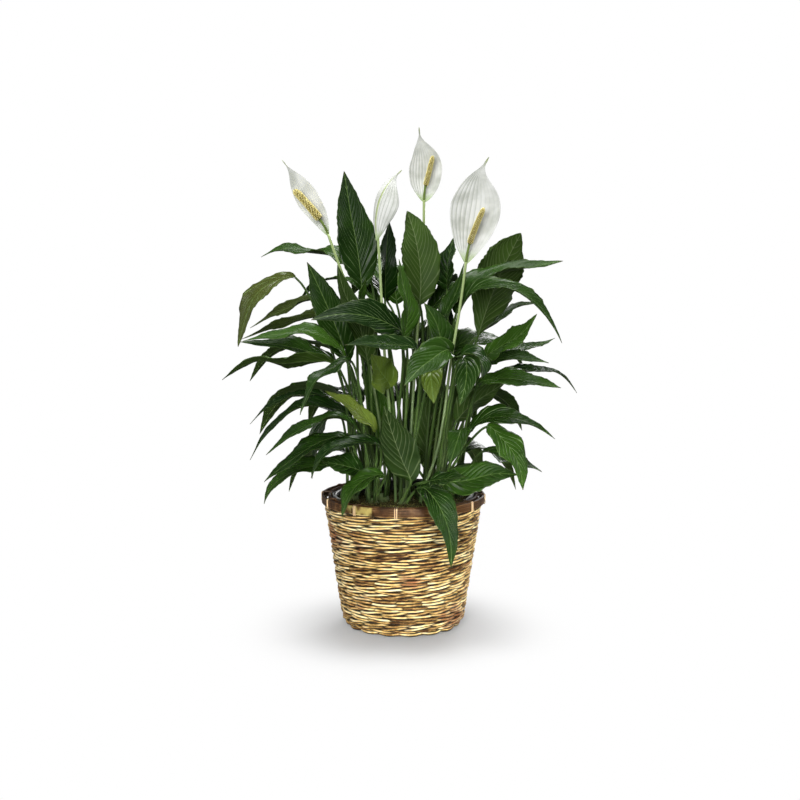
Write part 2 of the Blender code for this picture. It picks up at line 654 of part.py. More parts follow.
def petiole_section(point, way, normal, radius):
    """Left, top, right and bottom."""
    side = way.cross(normal)
    return [point - side * radius, point + normal * radius, point + side * radius, point - normal * radius]


def blade_section(leaf, share, point, way, normal, swell):
    """Left edge, rib and right edge on the upper face, then the same three underneath, right to left."""
    side = way.cross(normal)
    half = max(leaf.width / 2 * blade_width(leaf, share), 0.0006) + swell
    fold = leaf.fold * (1 - 0.5 * share)
    turn = share * leaf.waves * 2 * math.pi + leaf.phase
    calm = leaf.wave * leaf.width * blade_width(leaf, share)
    left = point - side * half * math.cos(fold) + normal * (half * math.sin(fold) + calm * math.sin(turn))
    right = point + side * half * math.cos(fold) + normal * (half * math.sin(fold) + calm * math.cos(turn))
    edge = normal * (BLADE_THICK / 2 + swell)
    rib = normal * (BLADE_THICK / 2 + RIB_DEPTH * (1 - share) + swell)
    return [left + edge, point + edge, right + edge, right - edge, point - rib, left - edge]


def skin(rings):
    """Triangles over the sections, split alike on both faces, with both ends closed."""
    verts = [point for ring in rings for point in ring]
    faces = []
    first = 0
    for ring, after in zip(rings, rings[1:]):
        a = [first + j for j in range(len(ring))]
        first += len(ring)
        b = [first + j for j in range(len(after))]
        if len(after) == 4:
            for j in range(4):
                k = (j + 1) % 4
                faces += [(a[j], a[k], b[k]), (a[j], b[k], b[j])]
        elif len(ring) == 4:
            faces += [(a[0], a[1], b[1]), (a[0], b[1], b[0]), (a[1], a[2], b[1]), (a[2], b[2], b[1])]
            faces += [(a[2], b[3], b[2]), (a[2], a[3], b[4]), (a[2], b[4], b[3])]
            faces += [(a[3], a[0], b[4]), (a[0], b[5], b[4]), (a[0], b[0], b[5])]
        else:
            faces += [(a[0], a[1], b[1]), (a[0], b[1], b[0]), (a[1], a[2], b[1]), (a[2], b[2], b[1])]
            faces += [(a[4], a[5], b[4]), (a[5], b[5], b[4]), (a[3], a[4], b[4]), (a[3], b[4], b[3])]
            faces += [(a[2], a[3], b[3]), (a[2], b[3], b[2]), (a[5], a[0], b[0]), (a[5], b[0], b[5])]
    if len(rings[0]) == 4:
        faces += [(0, 2, 1), (0, 3, 2)]
    if len(rings[-1]) == 4:
        faces += [(first, first + 1, first + 2), (first, first + 2, first + 3)]
    else:
        faces += [(first, first + 1, first + 5), (first + 1, first + 4, first + 5)]
        faces += [(first + 1, first + 2, first + 4), (first + 2, first + 3, first + 4)]
    return verts, faces


def front_leaves():
    made = []
    for number, (shoot, width, seen_foot, seen_tip, face, back, pixels) in enumerate(FRONT_LEAVES):
        last = len(pixels) - 1
        points = []
        for i, (across, down) in enumerate(pixels):
            depth = back[i] if len(back) > 2 else back[0] + (back[1] - back[0]) * i / last
            points.append(seen_at(across, down, depth / 100))
        width, *outline = width if isinstance(width, tuple) else (width, *PLAIN_OUTLINE)
        leaf = Leaf(shoot, width / 1000, points, number)
        leaf.outline = tuple(outline)
        if seen_foot:
            leaf.seen = seen_foot if isinstance(seen_foot, tuple) else (seen_foot, seen_tip)
        leaf.face = face
        made.append(leaf)
    return sorted(made, key=Leaf.nearness)


def back_leaves():
    draw = random.Random(7)
    made = []
    for height, out, length, width, fall, spread, count, first, last in BACK_TIERS:
        for i in range(count):
            heading = first + (last - first) * i / (count - 1) + draw.uniform(-7, 7)
            way = Vector((math.cos(math.radians(heading)), math.sin(math.radians(heading)), 0))
            up = Vector((0, 0, 1))
            size = length * draw.uniform(0.88, 1.12)
            foot = way * out * draw.uniform(0.8, 1.15) + up * (height + draw.uniform(-0.015, 0.02))
            points = [foot]
            out_way = way * size * spread
            points.append(foot + out_way * 0.36 + up * size * 0.22 * (1 - fall))
            points.append(foot + out_way * 0.70 + up * size * (0.20 - 0.45 * fall))
            points.append(foot + out_way * 0.93 + up * size * (0.06 - 0.85 * fall))
            near = [name for name, place in CROWNS.items() if place[1] > -0.02]
            near.sort(key=lambda name: (Vector((*CROWNS[name], 0)) * 1.2 - way * 0.09).length)
            shoot = near[0] if draw.random() < 0.7 else near[1]
            made.append(Leaf(shoot, width * draw.uniform(0.9, 1.1), points, 200 + len(made)))
    return made


def crosses_itself(verts, faces):
    tree = BVHTree.FromPolygons(verts, faces)
    return any(not set(faces[a]) & set(faces[b]) for a, b in tree.overlap(tree) if a < b)


class Crowd:
    """What already stands there, against which each new leaf is tried."""

    margin = 0.0008

    def __init__(self, fixed):
        self.fixed = []
        for thing in fixed:
            verts = [thing.matrix_world @ vert.co for vert in thing.data.vertices]
            faces = [tuple(face.vertices) for face in thing.data.polygons]
            self.fixed.append(BVHTree.FromPolygons(verts, faces))
        self.blades = []
        self.stems = []

    def meets(self, leaf):
        """Whether the leaf would touch anything. Petioles of one shoot may meet, as they sheath together."""
        if crosses_itself(*skin(leaf_rings(leaf))):
            return True
        rings = leaf_rings(leaf, self.margin)
        blade = BVHTree.FromPolygons(*skin(rings[PETIOLE_STEPS:]))
        if any(blade.overlap(tree) for tree in self.fixed + self.blades + [stem for _, stem in self.stems]):
            return True
        stem = BVHTree.FromPolygons(*skin(rings[: PETIOLE_STEPS + 1]))
        others = [tree for shoot, tree in self.stems if shoot != leaf.shoot]
        return any(stem.overlap(tree) for tree in self.fixed + self.blades + others)

    def add(self, leaf):
        rings = leaf_rings(leaf, self.margin)
        self.blades.append(BVHTree.FromPolygons(*skin(rings[PETIOLE_STEPS:])))
        self.stems.append((leaf.shoot, BVHTree.FromPolygons(*skin(rings[: PETIOLE_STEPS + 1]))))


def ways_to_lie(leaf):
    """The leaf as it is, then bent further each time: aside, back or forward, or from another crown."""
    home = Vector(CROWNS[leaf.shoot])
    near = sorted(CROWNS, key=lambda name: (Vector(CROWNS[name]) - home).length)[:3]
    turns = (0,) if leaf.seen else (0, 8, -8, 16, -16, 25, -25)
    pushes = (0, 6, -6, 12, -12, 20, -20, 30, 40, 50, -30) if leaf.seen else (0, 12, -12, 25)
    for narrow in (1.0, 0.88, 0.76):
        for shoot in near:
            for turn in turns:
                for push in pushes:
                    for bow in (0, 8, -8, 16, -16, 26, -26):
                        trial = copy.copy(leaf)
                        trial.width = leaf.width * narrow
                        trial.shoot = shoot
                        trial.turn = math.radians(turn)
                        trial.push = push / 1000
                        trial.bow = bow / 1000
                        yield trial


def settle(leaves, crowd):
    """Finds a way to lie clear for each leaf in its turn, from the front of the plant to the back."""
    kept = []
    for leaf in leaves:
        clear = next((trial for trial in ways_to_lie(leaf) if not crowd.meets(trial)), None)
        if clear:
            crowd.add(clear)
            kept.append(clear)
    return kept


def spread_feet(leaves):
    """Sets each petiole's foot in its own place round its crown, in the order of the leaves' headings."""
    for name, place in CROWNS.items():
        mine = [leaf for leaf in leaves if leaf.shoot == name]
        headings = {}
        for leaf in mine:
            headings[leaf] = math.atan2(leaf.points[0].y - place[1], leaf.points[0].x - place[0])
        mine.sort(key=headings.get)
        step = 2 * math.pi / len(mine)
        off = [headings[leaf] - step * i for i, leaf in enumerate(mine)]
        start = math.atan2(sum(map(math.sin, off)), sum(map(math.cos, off)))
        for i, leaf in enumerate(mine):
            leaf.foot_turn = start + step * i


def make_shoot(name, leaves, collection, material):
    """A crown with its leaves sunk into it and joined to it."""
    across, back = CROWNS[name]
    low = HOLE_FLOOR + GAP
    work = bmesh.new()
    tall = CROWN_TOP - low
    bmesh.ops.create_cone(
        work, segments=6, radius1=CROWN_RADIUS, radius2=CROWN_RADIUS * 0.75, depth=tall, cap_ends=True
    )
    bmesh.ops.translate(work, verts=work.verts, vec=(across, back, low + tall / 2))
    mesh = bpy.data.meshes.new(f"shoot_{name}")
    work.to_mesh(mesh)
    work.free()
    shoot = add_object(mesh.name, mesh, material, collection)
    blades = new_collection(f"leaves_of_{name}")
    for number, leaf in enumerate(leaves):
        verts, faces = skin(leaf_rings(leaf))
        mesh = bpy.data.meshes.new(f"leaf_{name}_{number}")
        mesh.from_pydata(verts, [], faces)
        face_outwards(mesh)
        add_object(mesh.name, mesh, None, blades)
    combine(shoot, blades, "UNION", "MANIFOLD")
    shoot.data.materials.clear()
    shoot.data.materials.append(material)
    return shoot


def make_bloom(name, plan, collection, finishes):
    """A stalk, a knobbly spadix on its end and a spathe behind the spadix."""
    green, white, cream = finishes
    foot = Vector((*plan["foot"], HOLE_FLOOR + GAP))
    stalk_points = [foot, foot + Vector((0, 0, 0.05))]
    stalk_points += [seen_at(a, d, back / 100) for a, d, back in plan["stalk"]]
    curve = bpy.data.curves.new(f"{name}_stalk", "CURVE")
    curve.dimensions = "3D"
    curve.bevel_depth = STALK_RADIUS
    curve.bevel_resolution = 1
    curve.use_fill_caps = True
    steps = 9
    places = along(stalk_points, [i / steps for i in range(steps + 1)], Vector((0, 0, 1)))
    spline = curve.splines.new("POLY")
    spline.points.add(steps)
    for spot, (point, _) in zip(spline.points, places):
        spot.co = (*point, 1)
    bar = bpy.data.objects.new(curve.name, curve)
    collection.objects.link(bar)
    mesh = baked(bar)
    bpy.data.objects.remove(bar)
    work = bmesh.new()
    work.from_mesh(mesh)
    bmesh.ops.remove_doubles(work, verts=work.verts, dist=0.00001)
    bmesh.ops.triangulate(work, faces=work.faces)
    bmesh.ops.recalc_face_normals(work, faces=work.faces)
    work.to_mesh(mesh)
    work.free()
    stalk = add_object(f"{name}_stalk", mesh, green, collection)

    top, up = places[-1]
    axis = [top + up * GAP] + [seen_at(a, d, back / 100) for a, d, back in plan["spadix"]]
    around = 7
    rings = []
    normal = up.orthogonal().normalized()
    before = up
    for row, (share, (point, way)) in enumerate(zip(SPADIX_SHARES, along(axis, SPADIX_SHARES, up))):
        normal = carried(normal, before, way)
        before = way
        side = way.cross(normal)
        half = plan["spadix_wide"] / 2000
        grown = min(1.0, max(0.0, (share - 0.30) / 0.06))
        radius = SPADIX_STEM + (half * (1.02 - 0.2 * share) - SPADIX_STEM) * grown
        if share > 0.88:
            radius *= math.sqrt(max(0.08, 1 - ((share - 0.88) / 0.125) ** 2))
        ring = []
        for i in range(around):
            bump = 0.0006 if grown == 1.0 and (row + i) % 2 else 0.0
            turn = 2 * math.pi * i / around
            ring.append(point + (side * math.cos(turn) + normal * math.sin(turn)) * (radius + bump))
        rings.append(ring)
    spadix = lofted(f"{name}_spadix", rings, cream, collection)

    opens = Vector(plan["opens"]) if plan["opens"] else EYE - top
    opens = (opens - up * opens.dot(up)).normalized()
    seat = top - up * SPATHE_SEAT - opens * SPATHE_CLEAR
    spine = [seat] + [seen_at(a, d, back / 100) for a, d, back in plan["spathe"]]
    spathe = make_spathe(name, plan, spine, opens, white, collection)
    return [stalk, spadix, spathe]


def spathe_width(share, widest):
    """The spathe's width as a share of its greatest, ending in a thread."""
    return max(0.04, abs(math.sin(math.pi * share**widest)) ** (0.85 + 1.9 * share**3))


def make_spathe(name, plan, spine, opens, material, collection):
    """A thin hooded sheet, whose section is an arc that is hollow the way it opens."""
    shares = (0.0, 0.08, 0.22, 0.39, 0.57, 0.76, 0.91, 1.0)
    curl = math.radians(plan["curl"])
    spread = (-0.5, -0.25, 0.0, 0.25, 0.5)
    rings = []
    for share, (point, way) in zip(shares, along(spine, shares)):
        hollow = (opens - way * opens.dot(way)).normalized()
        side = way.cross(hollow)
        width = plan["spathe_wide"] / 1000 * spathe_width(share, plan["widest"])
        bend = min(curl * (1 - 0.5 * share), width / SPATHE_CLEAR)
        radius = width / bend
        centre = point + hollow * radius
        outer = []
        inner = []
        for part in spread:
            turn = part * bend
            out = side * math.sin(turn) - hollow * math.cos(turn)
            outer.append(centre + out * (radius + SPATHE_THICK / 2))
            inner.append(centre + out * (radius - SPATHE_THICK / 2))
        rings.append(outer + inner[::-1])
    return lofted(f"{name}_spathe", rings, material, collection)


def lofted(name, rings, material, collection):
    """A closed body over sections of the same number of points, split alike on both faces."""
    count = len(rings[0])
    verts = [point for ring in rings for point in ring]
    faces = []
    for i in range(len(rings) - 1):
        for j in range(count):
            a = i * count + j
            b = i * count + (j + 1) % count
            if j < count // 2:
                faces += [(a, b, b + count), (a, b + count, a + count)]
            else:
                faces += [(a, b, a + count), (b, b + count, a + count)]
    mesh = bpy.data.meshes.new(name)
    first = list(range(count))
    last = [len(verts) - count + j for j in range(count)]
    mesh.from_pydata(verts, [], faces + [first, last])
    work = bmesh.new()
    work.from_mesh(mesh)
    bmesh.ops.triangulate(work, faces=work.faces)
    bmesh.ops.recalc_face_normals(work, faces=work.faces)
    work.to_mesh(mesh)
    work.free()
    return add_object(name, mesh, material, collection)


def build():
    clear_scene()
    collection = new_collection("potted_peace_lily")
    inner = make_basket(collection)
    soil_radius = make_pot(collection, inner)
    moss = make_moss(collection, soil_radius)
    places = [(*place, CROWN_RADIUS * HOLE_LOOSE) for place in CROWNS.values()]
    places += [(*plan["foot"], STALK_RADIUS * STALK_HOLE_LOOSE) for plan in BLOOMS.values()]
    cut_holes(moss, places, SOIL_TOP - 0.01)
    cut_holes(bpy.data.objects["soil"], places, HOLE_FLOOR)

    green = finish("leaf", (0.035, 0.13, 0.03), 0.4)
    stem = finish("flower_stalk", (0.20, 0.38, 0.10), 0.45)
    white = finish("spathe", (0.86, 0.87, 0.80), 0.5)
    cream = finish("spadix", (0.78, 0.68, 0.30), 0.7)
    blooms = []
    for name, plan in BLOOMS.items():
        blooms += make_bloom(name, plan, collection, (stem, white, cream))
    bpy.context.view_layer.update()
    solid = [thing for thing in collection.objects if thing.name not in ("soil", "basket_base")]
    crowd = Crowd(solid)
    leaves = front_leaves() + back_leaves()
    spread_feet(leaves)
    leaves = settle(leaves, crowd)
    for name in CROWNS:
        make_shoot(name, [leaf for leaf in leaves if leaf.shoot == name], collection, green)


build()
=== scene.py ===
"""A potted peace lily in a woven basket: the finish of every piece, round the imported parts.

Metres, +Z up. The front is seen along +Y, with +X to the right.
"""
import copy
import json
import math
import random

import bmesh
import bpy
import numpy as np
from mathutils import Matrix, Vector, noise
from mathutils.kdtree import KDTree

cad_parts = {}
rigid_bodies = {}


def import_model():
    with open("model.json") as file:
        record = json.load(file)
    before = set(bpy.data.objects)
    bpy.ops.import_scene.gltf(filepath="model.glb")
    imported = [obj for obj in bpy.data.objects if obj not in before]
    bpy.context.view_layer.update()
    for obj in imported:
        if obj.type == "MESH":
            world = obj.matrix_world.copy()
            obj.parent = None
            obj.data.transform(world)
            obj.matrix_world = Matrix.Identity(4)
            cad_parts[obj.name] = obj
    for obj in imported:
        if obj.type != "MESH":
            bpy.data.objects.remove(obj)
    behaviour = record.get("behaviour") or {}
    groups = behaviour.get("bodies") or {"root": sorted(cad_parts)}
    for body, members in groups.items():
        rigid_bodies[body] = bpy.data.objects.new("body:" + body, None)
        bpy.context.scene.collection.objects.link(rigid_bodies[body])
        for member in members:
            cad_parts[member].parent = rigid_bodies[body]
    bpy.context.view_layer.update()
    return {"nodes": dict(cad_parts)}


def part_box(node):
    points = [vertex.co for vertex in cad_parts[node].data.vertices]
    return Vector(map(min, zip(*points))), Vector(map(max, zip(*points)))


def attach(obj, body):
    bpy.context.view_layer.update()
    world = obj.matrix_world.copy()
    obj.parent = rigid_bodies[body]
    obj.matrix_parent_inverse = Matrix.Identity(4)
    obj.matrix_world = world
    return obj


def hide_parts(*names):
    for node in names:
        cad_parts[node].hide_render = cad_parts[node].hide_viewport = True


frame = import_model()

# The view: a camera in front of the plant, above the middle of its leaves, that looks slightly down. Leaves
# and blooms are placed on sight lines from it, by the pixels of an 800 by 800 frame where they are seen.
EYE = Vector((-0.005, -2.3, 0.66))
LOOK_DOWN = math.radians(7.25)
SIGHT = 1437.0
FRAME_MIDDLE = 400.0

camera = bpy.data.objects.new("camera", bpy.data.cameras.new("camera"))
camera.location = EYE
camera.rotation_euler = (math.pi / 2 - LOOK_DOWN, 0, 0)
camera.data.sensor_width = 36.0
camera.data.lens = camera.data.sensor_width * SIGHT / (2 * FRAME_MIDDLE)
bpy.context.scene.collection.objects.link(camera)
bpy.context.scene.camera = camera


# The basket's wall: split willow rods, twined in pairs round upright stakes, forty courses high. The rods
# are straw-coloured with brown streaks, and one goes behind a stake where its partner goes before it.
# Painted shade darkens each rod below its middle, in the crevices between courses, and where it goes behind
# a stake.
BASKET_HEIGHT = 0.215
HOOP_HEIGHT = 0.013
HOOP_THICK = 0.0035
RIM_RADIUS = 0.1325
FOOT_RADIUS = 0.0965
FOOT_ROUND = 0.016
WALL_TOP_RADIUS = 0.1287
WALL_BURIED = 0.0026
COURSES = 40
STAKES = 16
ROD_RADIUS = 0.0021
ROD_POINTS = 128
ROD_LENGTH = 0.69
PARTNER_STAKES = 7
TURNED_IN = 0.012
COURSES_RAISED = 0.0015
COURSES_TOP_CLEAR = 0.004
FLOOR_CLEAR = 0.0004
FOOT_COURSE_HEIGHT = 0.0048
FOOT_COURSE_SWING = 0.0013
UNEVEN = 0.0016
STAKE_RADIUS = 0.0019
STAKE_SUNK = 0.0035
STAKE_FOOT = 0.008
STAKE_TOP_CLEAR = 0.004


class Wire:
    """One socket of a node tree. Sums on wires add Math nodes, and node() adds a node of any other kind."""

    def __init__(self, tree, socket=None):
        self.tree = tree
        self.socket = socket

    def node(self, kind, settings=(), sockets=(), out=0):
        made = self.tree.nodes.new(kind)
        for name, value in dict(settings).items():
            if name == "stops":
                ramp = made.color_ramp.elements
                while len(ramp) < len(value):
                    ramp.new(0.5)
                for stop, (place, colour) in zip(ramp, value):
                    stop.position = place
                    stop.color = (*colour, 1.0)
            else:
                setattr(made, name, value)
        for key, value in dict(sockets).items():
            if isinstance(value, Wire):
                self.tree.links.new(value.socket, made.inputs[key])
            else:
                made.inputs[key].default_value = value
        return Wire(self.tree, made.outputs[out])

    def out(self, name):
        """Another output of the same node."""
        return Wire(self.tree, self.socket.node.outputs[name])

    def total(self, operation, *values):
        return self.node("ShaderNodeMath", {"operation": operation}, dict(enumerate(values)))

    def math(self, operation, *others):
        """This wire's sine, floor, maximum with another, and so on."""
        return self.total(operation, self, *others)

    def __add__(self, other):
        return self.math("ADD", other)

    def __radd__(self, other):
        return self.total("ADD", other, self)

    def __sub__(self, other):
        return self.math("SUBTRACT", other)

    def __rsub__(self, other):
        return self.total("SUBTRACT", other, self)

    def __mul__(self, other):
        return self.math("MULTIPLY", other)

    def __rmul__(self, other):
        return self.total("MULTIPLY", other, self)

    def __truediv__(self, other):
        return self.math("DIVIDE", other)

    def __pow__(self, other):
        return self.math("POWER", other)

    def between(self, low, high):
        """0 below low, 1 above high and smooth between."""
        sockets = {0: self, 1: low, 2: high}
        return self.node("ShaderNodeMapRange", {"interpolation_type": "SMOOTHSTEP"}, sockets)

    def noise(self, scale, detail=3.0, rough=0.5):
        sockets = {"Vector": self, "Scale": scale, "Detail": detail, "Roughness": rough}
        return self.node("ShaderNodeTexNoise", {}, sockets)

    def mixed(self, first, second):
        """The first colour where this wire is 0 and the second where it is 1."""
        ends = [value if isinstance(value, Wire) else (*value, 1.0) for value in (first, second)]
        return self.node("ShaderNodeMix", {"data_type": "RGBA"}, {0: self, 6: ends[0], 7: ends[1]}, 2)

    def scattered(self, other):
        """A random number from 0 to 1 for each pair of whole numbers."""
        pair = self.vector((self + 0.5).math("FLOOR"), (other + 0.5).math("FLOOR"), 0.0)
        return self.node("ShaderNodeTexWhiteNoise", {"noise_dimensions": "3D"}, {"Vector": pair})

    def vector(self, x, y, z):
        return self.node("ShaderNodeCombineXYZ", {}, {0: x, 1: y, 2: z})

    def axis(self, name):
        """This vector's X, Y or Z."""
        return self.node("ShaderNodeSeparateXYZ", {}, {0: self}).out(name)

    def scaled(self, amount):
        return self.node("ShaderNodeVectorMath", {"operation": "SCALE"}, {0: self, "Scale": amount})

    def plus(self, other):
        return self.node("ShaderNodeVectorMath", {"operation": "ADD"}, {0: self, 1: other})

    def keeping(self, label, value):
        """This geometry, with a number kept on each of its points for the material to read."""
        sockets = {0: self, 2: label, 3: value}
        return self.node("GeometryNodeStoreNamedAttribute", {"data_type": "FLOAT"}, sockets)

    def joined(self, other):
        """This geometry and another in one."""
        both = self.node("GeometryNodeJoinGeometry", {}, {0: self})
        self.tree.links.new(other.socket, both.socket.node.inputs[0])
        return both

    def attribute(self, name):
        return self.node("ShaderNodeAttribute", {"attribute_name": name}, {}, 2)

    def objects(self):
        """Object coordinates, in metres."""
        return self.node("ShaderNodeTexCoord", {}, {}, 3)


def new_finish(name, roughness, specular):
    """A material, its shader, and a wire from which its pattern starts."""
    made = bpy.data.materials.new(name)
    made.use_nodes = True
    shader = made.node_tree.nodes["Principled BSDF"]
    shader.inputs["Roughness"].default_value = roughness
    shader.inputs["Specular IOR Level"].default_value = specular
    return made, shader, Wire(made.node_tree)


def wear(shader, start, colour, roughness, relief, depth):
    """Links a pattern's colour, its roughness and a relief of a depth in metres to the shader."""
    bump = start.node("ShaderNodeBump", {}, {"Strength": 1.0, "Distance": depth, "Height": relief})
    for label, wire in (("Base Color", colour), ("Roughness", roughness), ("Normal", bump)):
        start.tree.links.new(wire.socket, shader.inputs[label])


def new_growth(name, sizes):
    """A Geometry Nodes tree, with a named input for each size."""
    tree = bpy.data.node_groups.new(name, "GeometryNodeTree")
    tree.interface.new_socket("Geometry", in_out="OUTPUT", socket_type="NodeSocketGeometry")
    for label, value in sizes.items():
        kind = "NodeSocketGeometry" if value is None else "NodeSocketFloat"
        if isinstance(value, int):
            kind = "NodeSocketInt"
        tree.interface.new_socket(label, in_out="INPUT", socket_type=kind)
    entry = tree.nodes.new("NodeGroupInput")
    return tree, {label: Wire(tree, entry.outputs[label]) for label in sizes}


def grown(name, tree, end, material, sizes, base=None):
    """The plain mesh that a tree makes, with its material, as a new object."""
    real = end.node("GeometryNodeRealizeInstances", {}, {0: end})
    smooth = real.node("GeometryNodeSetShadeSmooth", {}, {0: real})
    faced = smooth.node("GeometryNodeSetMaterial", {}, {0: smooth, 2: material})
    exit_node = tree.nodes.new("NodeGroupOutput")
    tree.links.new(faced.socket, exit_node.inputs[0])
    holder = bpy.data.objects.new(name, base or bpy.data.meshes.new(name))
    bpy.context.scene.collection.objects.link(holder)
    change = holder.modifiers.new("grow", "NODES")
    change.node_group = tree
    for item in tree.interface.items_tree:
        if item.in_out == "INPUT" and sizes.get(item.name) is not None:
            change[item.identifier] = sizes[item.name]
    bpy.context.view_layer.update()
    graph = bpy.context.evaluated_depsgraph_get()
    evaluated = holder.evaluated_get(graph)
    made = bpy.data.meshes.new_from_object(evaluated, preserve_all_data_layers=True, depsgraph=graph)
    holder.modifiers.clear()
    holder.data = made
    made.name = name
    return holder


willow, shader, start = new_finish("split_willow", 0.45, 0.12)
rod = start.attribute("rod")
run = start.attribute("run")
around = start.attribute("around")
lengthwise = start.vector(run * 55, rod * 3.7, around * 0.6)
streaks = lengthwise.noise(1.0, 4.0, 0.6)
grain = start.vector(run * 90, rod * 3.7, around * 9).noise(1.0, 3.0, 0.6)
own_shade = start.attribute("segment").scattered(rod)
patches = start.objects().noise(17.0, 3.0, 0.55)
straw = start.node("ShaderNodeValToRGB", {"stops": (
    (0.36, (0.100, 0.045, 0.016)),
    (0.44, (0.390, 0.220, 0.066)),
    (0.52, (0.800, 0.560, 0.210)),
    (0.62, (1.000, 0.860, 0.490)),
)}, {0: streaks * 0.62 + own_shade * 0.20 + patches * 0.25 - 0.035})
worn_and_shaded = patches.between(0.56, 0.70).mixed(straw, (0.36, 0.155, 0.060))
worn_and_shaded = (grain.between(0.56, 0.78) * 0.45).mixed(worn_and_shaded, (0.13, 0.055, 0.018))
level = start.attribute("level")
upward = (start.objects().axis("Z") - level) / ROD_RADIUS
# Painted shade: each rod is painted near black below its middle and along its top edge, where shade falls
# in the crevices between courses.
painted_crevice_shade = 1 - upward.between(-0.34, 0.08) * (1 - upward.between(0.82, 1.0) * 0.9)
worn_and_shaded = (painted_crevice_shade * 0.98).mixed(worn_and_shaded, (0.008, 0.003, 0.0015))
# Painted shade: a rod is painted near black where it goes behind a stake and its partner, in their shade.
behind = 1 - start.attribute("front").between(-0.40, 0.35)
worn_and_shaded = (behind * 0.97).mixed(worn_and_shaded, (0.008, 0.004, 0.002))
wear(shader, start, worn_and_shaded, 0.62 - grain * 0.35, grain, 0.0005)

sizes = {"Rods": 2 * COURSES, "Points": ROD_POINTS, "Stakes": STAKES, "Rod radius": ROD_RADIUS,
         "Depth": 0.0025, "Lift": 0.0024, "Wander": 0.0046}
tree, size = new_growth("twined_wall", sizes)
start = Wire(tree)
circle = start.node("GeometryNodeCurvePrimitiveCircle", {}, {"Resolution": size["Points"], "Radius": 1.0})
rods = circle.node(
    "GeometryNodeDuplicateElements", {"domain": "SPLINE"}, {"Geometry": circle, "Amount": size["Rods"]}
)
number = rods.out("Duplicate Index")
course = (number / 2).math("FLOOR")
partner = number - course * 2


def drawn(low, high, thing, seed):
    """A random number between two for each thing, the same each time."""
    sockets = {2: low, 3: high, 7: thing, 8: seed}
    return thing.node("FunctionNodeRandomValue", {"data_type": "FLOAT"}, sockets, 1)


round_share = start.node("GeometryNodeSplineParameter")
partner_turn = partner * (PARTNER_STAKES * 2 * math.pi) / size["Stakes"]
angle = round_share * (2 * math.pi) + (drawn(0.0, 2 * math.pi, course, 4) + partner_turn)
across = angle.math("COSINE")
back = angle.math("SINE")
swing = (round_share * size["Stakes"] + 1) * math.pi
front = swing.math("COSINE")
foot = (1 - course).math("MAXIMUM", 0.0)
way_round = start.vector(across, back, course * 0.45)
uneven = start.vector(across * 2.5, back * 2.5, number * 0.9)
wander = (way_round.noise(1.1, 2.0) - 0.5) * size["Wander"]
slant = drawn(-0.45, 1.0, course, 9)
pitch = (BASKET_HEIGHT - HOOP_HEIGHT * 0.75 - COURSES_TOP_CLEAR) / COURSES
height = course * pitch + pitch / 2 + wander + swing.math("SINE") * slant * size["Lift"] + COURSES_RAISED
height = height.math("MAXIMUM", ROD_RADIUS + FLOOR_CLEAR)
height = height * (1 - foot) + foot * (FOOT_COURSE_HEIGHT - front * FOOT_COURSE_SWING)
taper = (WALL_TOP_RADIUS - FOOT_RADIUS) / BASKET_HEIGHT
under = (1 - height / FOOT_ROUND).math("MAXIMUM", 0.0)
radius = height * taper + (FOOT_RADIUS - WALL_BURIED) - under * under * TURNED_IN
radius = radius + front * size["Depth"] * (1 + foot * 0.7) + (uneven.noise(1.3, 2.0) - 0.5) * UNEVEN
spot = start.vector(across * radius, back * radius, height)
rods = rods.node("GeometryNodeSetPosition", {}, {0: rods, 2: spot})
segment = (round_share * size["Stakes"] / 2).math("FLOOR")
rods = rods.keeping("rod", number).keeping("run", round_share * ROD_LENGTH)
rods = rods.keeping("level", height).keeping("front", front).keeping("segment", segment)
section = start.node("GeometryNodeCurvePrimitiveCircle", {}, {"Resolution": 8, "Radius": 1.0})
section = section.keeping("around", start.node("GeometryNodeSplineParameter"))
thick = size["Rod radius"] * (uneven.noise(2.2, 3.0) * 0.6 + 0.72) * (0.86 + front * 0.22)
thick = thick * (1 + foot * 0.3)
woven = rods.node("GeometryNodeCurveToMesh", {}, {0: rods, 1: section, 2: thick})

upright = start.node("GeometryNodeCurvePrimitiveLine", {}, {
    0: (FOOT_RADIUS - WALL_BURIED - STAKE_SUNK, 0.0, STAKE_FOOT),
    1: (WALL_TOP_RADIUS - WALL_BURIED, 0.0, BASKET_HEIGHT - STAKE_TOP_CLEAR)})
stake = upright.node("GeometryNodeCurveToMesh", {}, {0: upright, 1: section, 2: STAKE_RADIUS, 3: True})
posts = start.node("GeometryNodePoints", {}, {0: size["Stakes"]})
which = start.node("GeometryNodeInputIndex")
facing = start.vector(0.0, 0.0, which * (2 * math.pi) / size["Stakes"])
stakes = posts.node("GeometryNodeInstanceOnPoints", {}, {0: posts, 2: stake, 5: facing})
basket = grown("willow_wall", tree, woven.joined(stakes), willow, sizes)
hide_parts("basket_wall")
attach(basket, "root")


# The rim: a flat band of dark cane round the outside of the basket's mouth and another round the inside.
# The outer band is one splint, whose end butts at the front left, where the pale end of the lap shows.
RIM_ROUND = 240
BUTT_ANGLE = math.radians(-112.4)
LAP_ANGLE = math.radians(-131)
LAP_SUNK = 0.0009
BUTT_HALF = 0.009
BAND_SUNK = 0.0003
BAND_RIPPLE = 0.0002
BAND_CORNER = 0.0009


